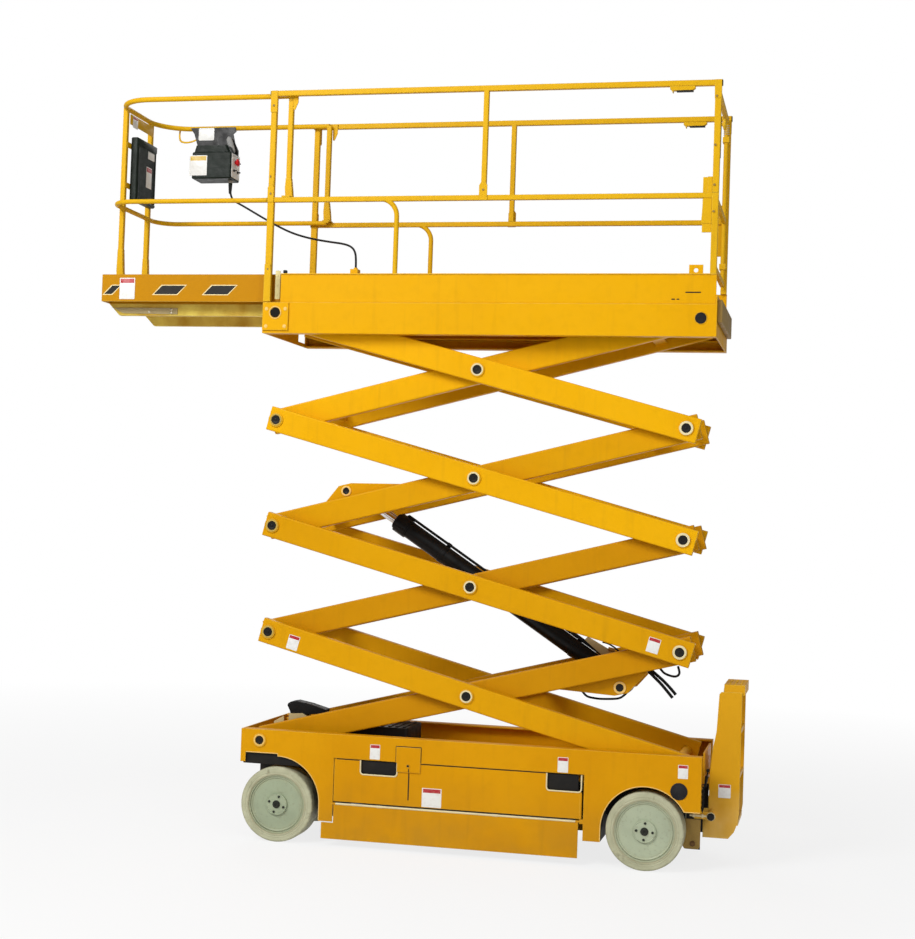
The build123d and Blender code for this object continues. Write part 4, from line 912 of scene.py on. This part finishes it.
# ---- guard rails --------------------------------------------------------------------
# Square steel tube: the lower half is bolted to the toe boards, the upper half folds down on pins. End caps are black
# plastic, the catches are sheet steel with a black underside.
rail_yellow = enamel("rail_enamel", (0.71, 0.405, 0.010), (0.67, 0.37, 0.008))
paint(rail_yellow, "guard_rail_left", "guard_rail_right", "extension_rails", "rear_gate")
rail_y, rail_top, rail_mid, rail_face = 0.365, 3.832, 3.280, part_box("guard_rail_left")[1][1]
caps = [rounded((x0, rail_y - half, z - half), (x1, rail_y + half, z + half), 0, 0.004, 0.0012)
        for x0, x1, z, half in ((0.7862, 0.7905, rail_top, 0.0138), (-1.5197, -1.5240, rail_top, 0.0138),
                                (0.7862, 0.7900, rail_mid, 0.0135))]
pair("tube_caps", caps, cable_black, "platform")
# folding joint: cheek plates at the feet of the upper posts, sleeves under the top rail, a gusset at the rear post
# and the foot plate of the front post
foot = [(0.017, -0.014), (0.017, 0.062), (0.009, 0.078), (-0.009, 0.078), (-0.017, 0.062), (-0.017, -0.014)]
sleeve = [(0.7865, 0.0138), (0.7505, 0.0138), (0.7495, -0.092), (0.7520, -0.099), (0.7840, -0.099), (0.7865, -0.092)]
rear_sleeve = [(-1.4845, 0.0138), (-1.5205, 0.0138), (-1.5205, -0.078), (-1.4865, -0.078)]
gusset = [(-1.4870, 3.372), (-1.4640, 3.372), (-1.4640, 3.295), (-1.4440, 3.268), (-1.4370, 3.142), (-1.4870, 3.142)]
base = [(0.7875, 2.752), (0.7505, 2.752), (0.7505, 2.905), (0.7560, 2.945), (0.7860, 2.945)]
cheeks = [extruded(gusset, rail_face - 0.012, rail_face - 0.007, 0.001)]
for outline, wide, x, z, start, end in ((foot, 1.0, 0.769, rail_mid, 0.0002, 0.0032),
                                        (foot, 1.25, -0.3505, rail_mid, 0.0002, 0.0032),
                                        (sleeve, 1.0, 0.0, rail_top, 0.0002, 0.0026),
                                        (rear_sleeve, 1.0, 0.0, rail_top, 0.0002, 0.0026),
                                        (base, 1.0, 0.0, 0.0, 0.0032, 0.0056)):
    cheeks.append(extruded(np.array(outline) * (wide, 1) + (x, z), rail_face + start, rail_face + end, 0.0008))
pair("rail_cheeks", cheeks, rail_yellow, "platform")
bolt = [(0, 6.2), (2.2, 6.2), (3, 5), (3, 0.8)]
bolts = [turned(bolt, (x, rail_face + 0.0030, z), left, 6)
         for x, z in ((0.769, 3.310), (0.769, 3.768), (-0.3505, 3.318), (-1.497, 3.764), (-1.496, 3.525),
                      (-1.497, 3.330), (-1.497, 3.200), (0.769, 2.920))]
pin = [(0, 3.4), (4.5, 3.4), (5, 2.4), (5, 0.5)]
bolts += [turned(pin, (0.773, rail_face + 0.0001, z), left, 12) for z in (3.402, 3.395)]
pair("rail_bolts", bolts, tan_plate, "platform")
# spring catch under the top rail: folded plate with a turned-down tip, black rubber along its lower edge
catch = [(-1.268, 3.8175), (-1.268, 3.806), (-1.276, 3.800), (-1.280, 3.788), (-1.284, 3.788), (-1.284, 3.797),
         (-1.378, 3.797), (-1.392, 3.808), (-1.392, 3.8175)]
pair("rail_catch", [extruded(catch, rail_y - 0.013, rail_y + 0.013, 0.001)], rail_yellow, "platform")
pad = rounded((-1.300, rail_y - 0.012, 3.7910), (-1.382, rail_y + 0.012, 3.7968), 0, 0.002, 0.001)
pair("catch_pad", [pad], cable_black, "platform")

# ---- rear gate ----------------------------------------------------------------------
# Light tube gate that swings on the right rail: sprung hinge sleeve, a rubber buffer and a round-headed latch.
gate_x, hinge_y = -1.4975, -0.323
wind = np.linspace(0.0, 12 * np.pi, 60)
coil = np.column_stack((gate_x + 0.0145 * np.cos(wind), hinge_y + 0.0145 * np.sin(wind),
                        np.linspace(3.735, 3.790, 60)))
piece("gate_spring", [carried(coil, 0.0014, 6)], bright_zinc, "gate")
hinge_cover = rounded((-1.5155, 0.296, 3.444), (-1.5100, 0.338, 3.676), 0, 0.004, 0.0012)
piece("gate_latch_plate", [hinge_cover], rail_yellow, "gate")
buffer = rounded((-1.5200, 0.326, 3.470), (-1.5156, 0.335, 3.672), 0, 0.002, 0.001)
piece("gate_buffer", [buffer], cable_black, "gate")
knob = [(0, 9), (4, 10), (10, 26), (16, 29), (22, 26), (25, 16), (26, 2)]
piece("gate_knob", [turned(knob, (-1.5100, 0.200, 3.667), (-1, 0, 0), 32)], rail_yellow, "gate")
cap = [(0, 12.5), (3, 12.2), (5, 9), (5.5, 1)]
piece("gate_caps", [turned(cap, (gate_x, hinge_y, 3.8240), (0, 0, 1), 24)], cable_black, "gate")

# ---- roll-out extension -------------------------------------------------------------
# Sheet deck on two slide bars, toe boards with a folded rim, and round-cornered rails of bent tube. Its sides carry
# black hazard blocks edged in pale tape and one white plate with a red top.


def slanted(front, rear, low, high, lean):
    """A block leaning forward as it drops: corners (front, high), (rear, high), (rear + lean, low)."""
    return [(front, high), (rear, high), (rear + lean, low), (front + lean, low)]


def sign_face(name, y0, y1, z0, z1, x, material=warning_vinyl):
    """A blank sticker on a face that looks to the rear, with y1 above y0."""
    made = piece(name, [rounded((x, y0, z0), (x - 0.0007, y1, z1), 0, 0.003, 0.0003)], material, "extension")
    chart(made, (x, y1, z0), (0, y0 - y1, 0), (0, 0, z1 - z0))


# The pale tint on the extension deck below 2.75 m is painted light on the slide channel, which lies in shade under
# the deck.
extension_yellow = enamel("extension_enamel", (0.51, 0.225, 0.004), (0.47, 0.20, 0.003), 1.0, (0.98, 0.80, 0.16),
                          (2.7580, 2.7500))
tape_pale = satin("pale_tape", (0.80, 0.66, 0.34), 0.45, 0.0, (0.40, 0.28, 0.10), 0.25)
tape_black = satin("black_tape", (0.018, 0.017, 0.015), 0.45, 0.0, (0.10, 0.08, 0.05), 0.2)
paint(extension_yellow, "extension_deck")
side_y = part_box("extension_deck")[1][1]
blocks, borders = [], []
for front, rear in ((1.6430, 1.5990), (1.3620, 1.2330), (1.0840, 0.9520)):
    blocks.append(extruded(slanted(front, rear, 2.7935, 2.8385, 0.046), side_y + 0.0004, side_y + 0.0009, 0.0002))
    borders.append(extruded(slanted(front + 0.004, rear - 0.009, 2.7890, 2.8430, 0.052), side_y + 0.00005,
                            side_y + 0.00045, 0.0001))
pair("hazard_borders", borders, tape_pale, "extension")
pair("hazard_blocks", blocks, tape_black, "extension")
stickers("extension_plate", 1.5585, 2.8230, 0.086, 0.112, side_y + 0.0010, "extension")
# pale wear plate on the nose of the slide bar, below the platform's guides
nose_y = 0.2510
nose = [(1.6920, 2.7335), (1.6760, 2.7335), (1.6200, 2.7040), (1.3110, 2.7000), (1.3110, 2.7335)]
pair("slide_nose", [extruded(nose, nose_y - 0.0055, nose_y, 0.001)], beige_plate, "extension")
screw = [(0, 6.5), (2.2, 6.2), (3.2, 4.5), (3.2, 0.8)]
screws = [turned(screw, (x, nose_y, z), left, 16) for x, z in ((1.470, 2.712), (1.345, 2.725), (1.345, 2.708))]
pair("slide_screws", screws, bright_zinc, "extension")
# flared feet of the front and rear posts, and the guide that hangs from the top rail
feet = []
for x, y, low, high in ((1.6845, 0.165, 2.8985, 3.060), (0.6895, 0.330, 3.3022, 3.398)):
    flare = [(-0.0250, low), (-0.0205, low + 0.045), (-0.0138, high), (0.0138, high), (0.0170, low + 0.045),
             (0.0138, low)]
    feet.append(extruded(np.array(flare) + (x, 0), y - 0.0142, y + 0.0142, 0.001))
pair("post_feet", feet, rail_yellow, "extension")
guide = [(0.7100, 3.8420), (0.6480, 3.8420), (0.6480, 3.7900), (0.6640, 3.7520), (0.6740, 3.7520), (0.6760, 3.8120),
         (0.7100, 3.8120)]
pair("rail_guide", [extruded(guide, 0.3440, 0.3490, 0.001)], rail_yellow, "extension")
piece("extension_sheet", [rounded((0.325, -0.326, 2.8072), (1.690, 0.326, 2.8086), 2, 0.006, 0.0004)], deck_grip,
      "extension")
# blank sign plate under the front rail, with a sticker on its rear face
sign = rounded((1.6660, -0.150, 3.745), (1.6690, 0.150, 3.800), 0, 0.004, 0.0008)
piece("front_sign_plate", [sign], rail_yellow, "extension")
sign_face("front_sign_sticker", 0.055, 0.120, 3.735, 3.797, 1.6659)

# ---- document box -------------------------------------------------------------------
# Moulded dark green box for the handbook, with a hinged lid and two labels, strapped between the front posts.
dark_moulding = rubber("dark_green_moulding", (0.006, 0.011, 0.007), 0.38, 420.0)
white_vinyl = printed("white_vinyl", (0.55, 0.55, 0.52), 0.12)
paint(dark_moulding, "document_box", "control_box")
doc_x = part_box("document_box")[0][0]
lid = [rounded((doc_x - 0.0035, -0.124, 3.640), (doc_x + 0.0005, 0.124, 3.676), 0, 0.006, 0.002),
       rounded((doc_x - 0.0025, -0.122, 3.3400), (doc_x + 0.0005, 0.122, 3.3500), 0, 0.004, 0.001)]
lid += [rounded((doc_x - 0.0022, y - 0.004, 3.350), (doc_x + 0.0005, y + 0.004, 3.630), 0, 0.003, 0.001)
        for y in (-0.112, 0.112)]
piece("box_lid_and_ribs", lid, dark_moulding, "extension")
sign_face("box_label_upper", -0.095, -0.010, 3.590, 3.632, doc_x - 0.0001, white_vinyl)
sign_face("box_label_lower", -0.068, 0.005, 3.430, 3.545, doc_x - 0.0001)

# ---- control box --------------------------------------------------------------------
# Moulded box with a joystick, hung from the right rail by a cut black plate. A white switch panel with a red stop
# button closes its rear end; a bent flat loop guards the trigger.
grey_case = rubber("grey_moulding", (0.30, 0.30, 0.29), 0.45)
red_plastic = rubber("red_button", (0.55, 0.015, 0.02), 0.3, 400.0)
label = printed("white_vinyl_yellow_band", (0.62, 0.40, 0.02), 0.26)
hang_y = -0.2955
hanger = [(1.5000, 3.8250), (1.2300, 3.8250), (1.2250, 3.8000), (1.2420, 3.7860), (1.2300, 3.7350), (1.2080, 3.6900),
          (1.2080, 3.6605), (1.4150, 3.6605), (1.4450, 3.6800), (1.4520, 3.7150), (1.4760, 3.7900)]
piece("hanger_plate", [extruded(hanger, hang_y, hang_y + 0.006, 0.0015)], barrel_black, "extension")
shroud = [(1.4200, 3.7020), (1.2360, 3.7020), (1.2160, 3.6605), (1.4320, 3.6605)]
piece("box_shroud", [extruded(shroud, -0.288, -0.182, 0.012)], dark_moulding, "extension")
white_card = rounded((1.4480, hang_y + 0.0062, 3.7520), (1.3560, hang_y + 0.0076, 3.8220), 1, 0.006, 0.0005)
card = piece("hanger_card", [white_card], white_vinyl, "extension")
chart(card, (1.4480, 0, 3.7520), (-0.092, 0, 0), (0, 0, 0.070))
# joystick: a grip that swells in the middle, on a ribbed boot
stick_y = hang_y + 0.024
grip_line = np.linspace((1.2640, stick_y, 3.7680), (1.2300, stick_y, 3.6640), 14)
swell = 0.0175 * np.sqrt(1.02 - np.linspace(-1.0, 1.0, 14) ** 4)
piece("joystick_grip", [carried(grip_line, swell, 24, 0.8)], grey_case, "extension")
boot_line = np.linspace((1.250, stick_y, 3.7020), (1.246, stick_y, 3.6670), 6)
piece("joystick_boot", [carried(boot_line, (0.014, 0.018, 0.015, 0.020, 0.017, 0.024), 24)], cable_black, "extension")
sticker("box_label", 1.3950, 3.5840, 0.104, 0.112, -0.1649, "extension", 0.0, label)
# switch panel with its stop button and switches, and the collar over the cable's gland
panel_x = 1.1996
panel = rounded((1.2026, -0.296, 3.520), (panel_x, -0.174, 3.652), 0, 0.006, 0.001)
chart(piece("switch_panel", [panel], white_vinyl, "extension"), (1.2, -0.174, 3.520), (0, -0.122, 0), (0, 0, 0.132))
button = [(0, 10.5), (10, 10.5), (11, 19), (16, 20.5), (21, 18.5), (23.5, 12), (24, 1)]
piece("stop_button", [turned(button, (panel_x, -0.225, 3.609), (-1, 0, 0), 36)], red_plastic, "extension")
switch = [(0, 7.5), (4, 7.5), (4, 3), (16, 4.2), (18, 3), (18, 0.5)]
switches = [turned(switch, (panel_x, y, z), (-1, 0, 0), 18)
            for y, z in ((-0.262, 3.609), (-0.205, 3.560), (-0.262, 3.560))]
piece("panel_switches", switches, black_metal, "extension")
collar = [(0, 15), (-6, 15), (-8, 13.5), (-12, 12.5), (-14, 11)]
gland_top = (cable_route[0][0], cable_route[0][1], 3.5100)
piece("gland_collar", [turned(collar, gland_top, (0, 0, 1), 24)], grey_case, "extension")
trigger = smooth_line([(1.5790, -0.330, 3.8200), (1.5770, -0.322, 3.7850), (1.5640, -0.312, 3.7560),
                       (1.5300, -0.305, 3.7460), (1.4900, -0.300, 3.7500), (1.4560, -0.297, 3.7620)], 30)
piece("guard_loop", [carried(trigger, 0.0055, 10, 0.45)], rail_yellow, "extension")

# ---- floor, lamps and sky -----------------------------------------------------------
# Pale seamless studio floor under one high soft lamp, a lower fill from the left and a dim even sky.
ground = Finish("studio_floor", 0.8)
ground.set("Base Color", (0.76, 0.76, 0.76, 1.0))
ground.relief(ground.noise(40.0), 0.0002)
glow = ground.node("ShaderNodeEmission", {}, {"Color": (1.0, 1.0, 1.0, 1.0), "Strength": 1.0})
away = ground.vector("LENGTH", ground.place, output=1)
whitened = ground.ray("Camera", "Glossy", "Transmission") * ground.fade(away, 2.5, 8.0, 0.80, 1.0)
shaded = Signal(ground, ground.shader.outputs[0])
lit = ground.node("ShaderNodeMixShader", {}, {0: whitened, 1: shaded, 2: glow})
ground.feed(ground.tree.nodes["Material Output"].inputs["Surface"], lit)
count = 9
spread = np.linspace(-30.0, 30.0, count)
grid = np.array(np.meshgrid(spread, spread, -0.0005)).reshape(3, -1).T
cells = np.arange(count ** 2).reshape(count, count)
squares = np.stack((cells[:-1, :-1], cells[:-1, 1:], cells[1:, 1:], cells[1:, :-1]), axis=-1).reshape(-1, 4)
floor_mesh = bpy.data.meshes.new("studio_floor")
floor_mesh.from_pydata(grid.tolist(), [], squares.tolist())
floor_mesh.materials.append(ground.material)
floor = bpy.data.objects.new("studio_floor", floor_mesh)
bpy.context.scene.collection.objects.link(floor)
world = bpy.data.worlds.new("studio_sky")
world.use_nodes = True
bpy.context.scene.world = world
sky = Nodes(world.node_tree)
background = sky.tree.nodes["Background"]
sky.feed(background.inputs["Color"], (1.0, 1.0, 1.0, 1.0))
sky.feed(background.inputs["Strength"], sky.fade(sky.ray("Camera", "Transmission"), 0.0, 1.0, 0.30, 1.0))
for name, place, aim, size, power in (("key_lamp", (3.4, 6.6, 6.6), (0.0, 0.0, 1.8), 4.0, 572.0),
                                      ("fill_lamp", (-4.5, 6.0, 3.4), (0.0, 0.0, 1.5), 4.0, 120.0),
                                      ("back_lamp", (2.5, -7.0, 6.0), (0.0, 0.0, 1.8), 5.0, 160.0)):
    lamp = bpy.data.objects.new(name, bpy.data.lights.new(name, "AREA"))
    lamp.data.shape = "DISK"
    lamp.data.size = size
    lamp.data.energy = power
    toward = np.array(aim) - np.array(place)
    toward /= np.linalg.norm(toward)
    sideways = np.cross(toward, (0.0, 0.0, 1.0))
    sideways /= np.linalg.norm(sideways)
    turn = np.eye(4)
    turn[:3, :4] = np.column_stack((sideways, np.cross(sideways, toward), -toward, place))
    lamp.matrix_world = Matrix(turn.tolist())
    bpy.context.scene.collection.objects.link(lamp)
bpy.context.scene.view_settings.view_transform = "Standard"
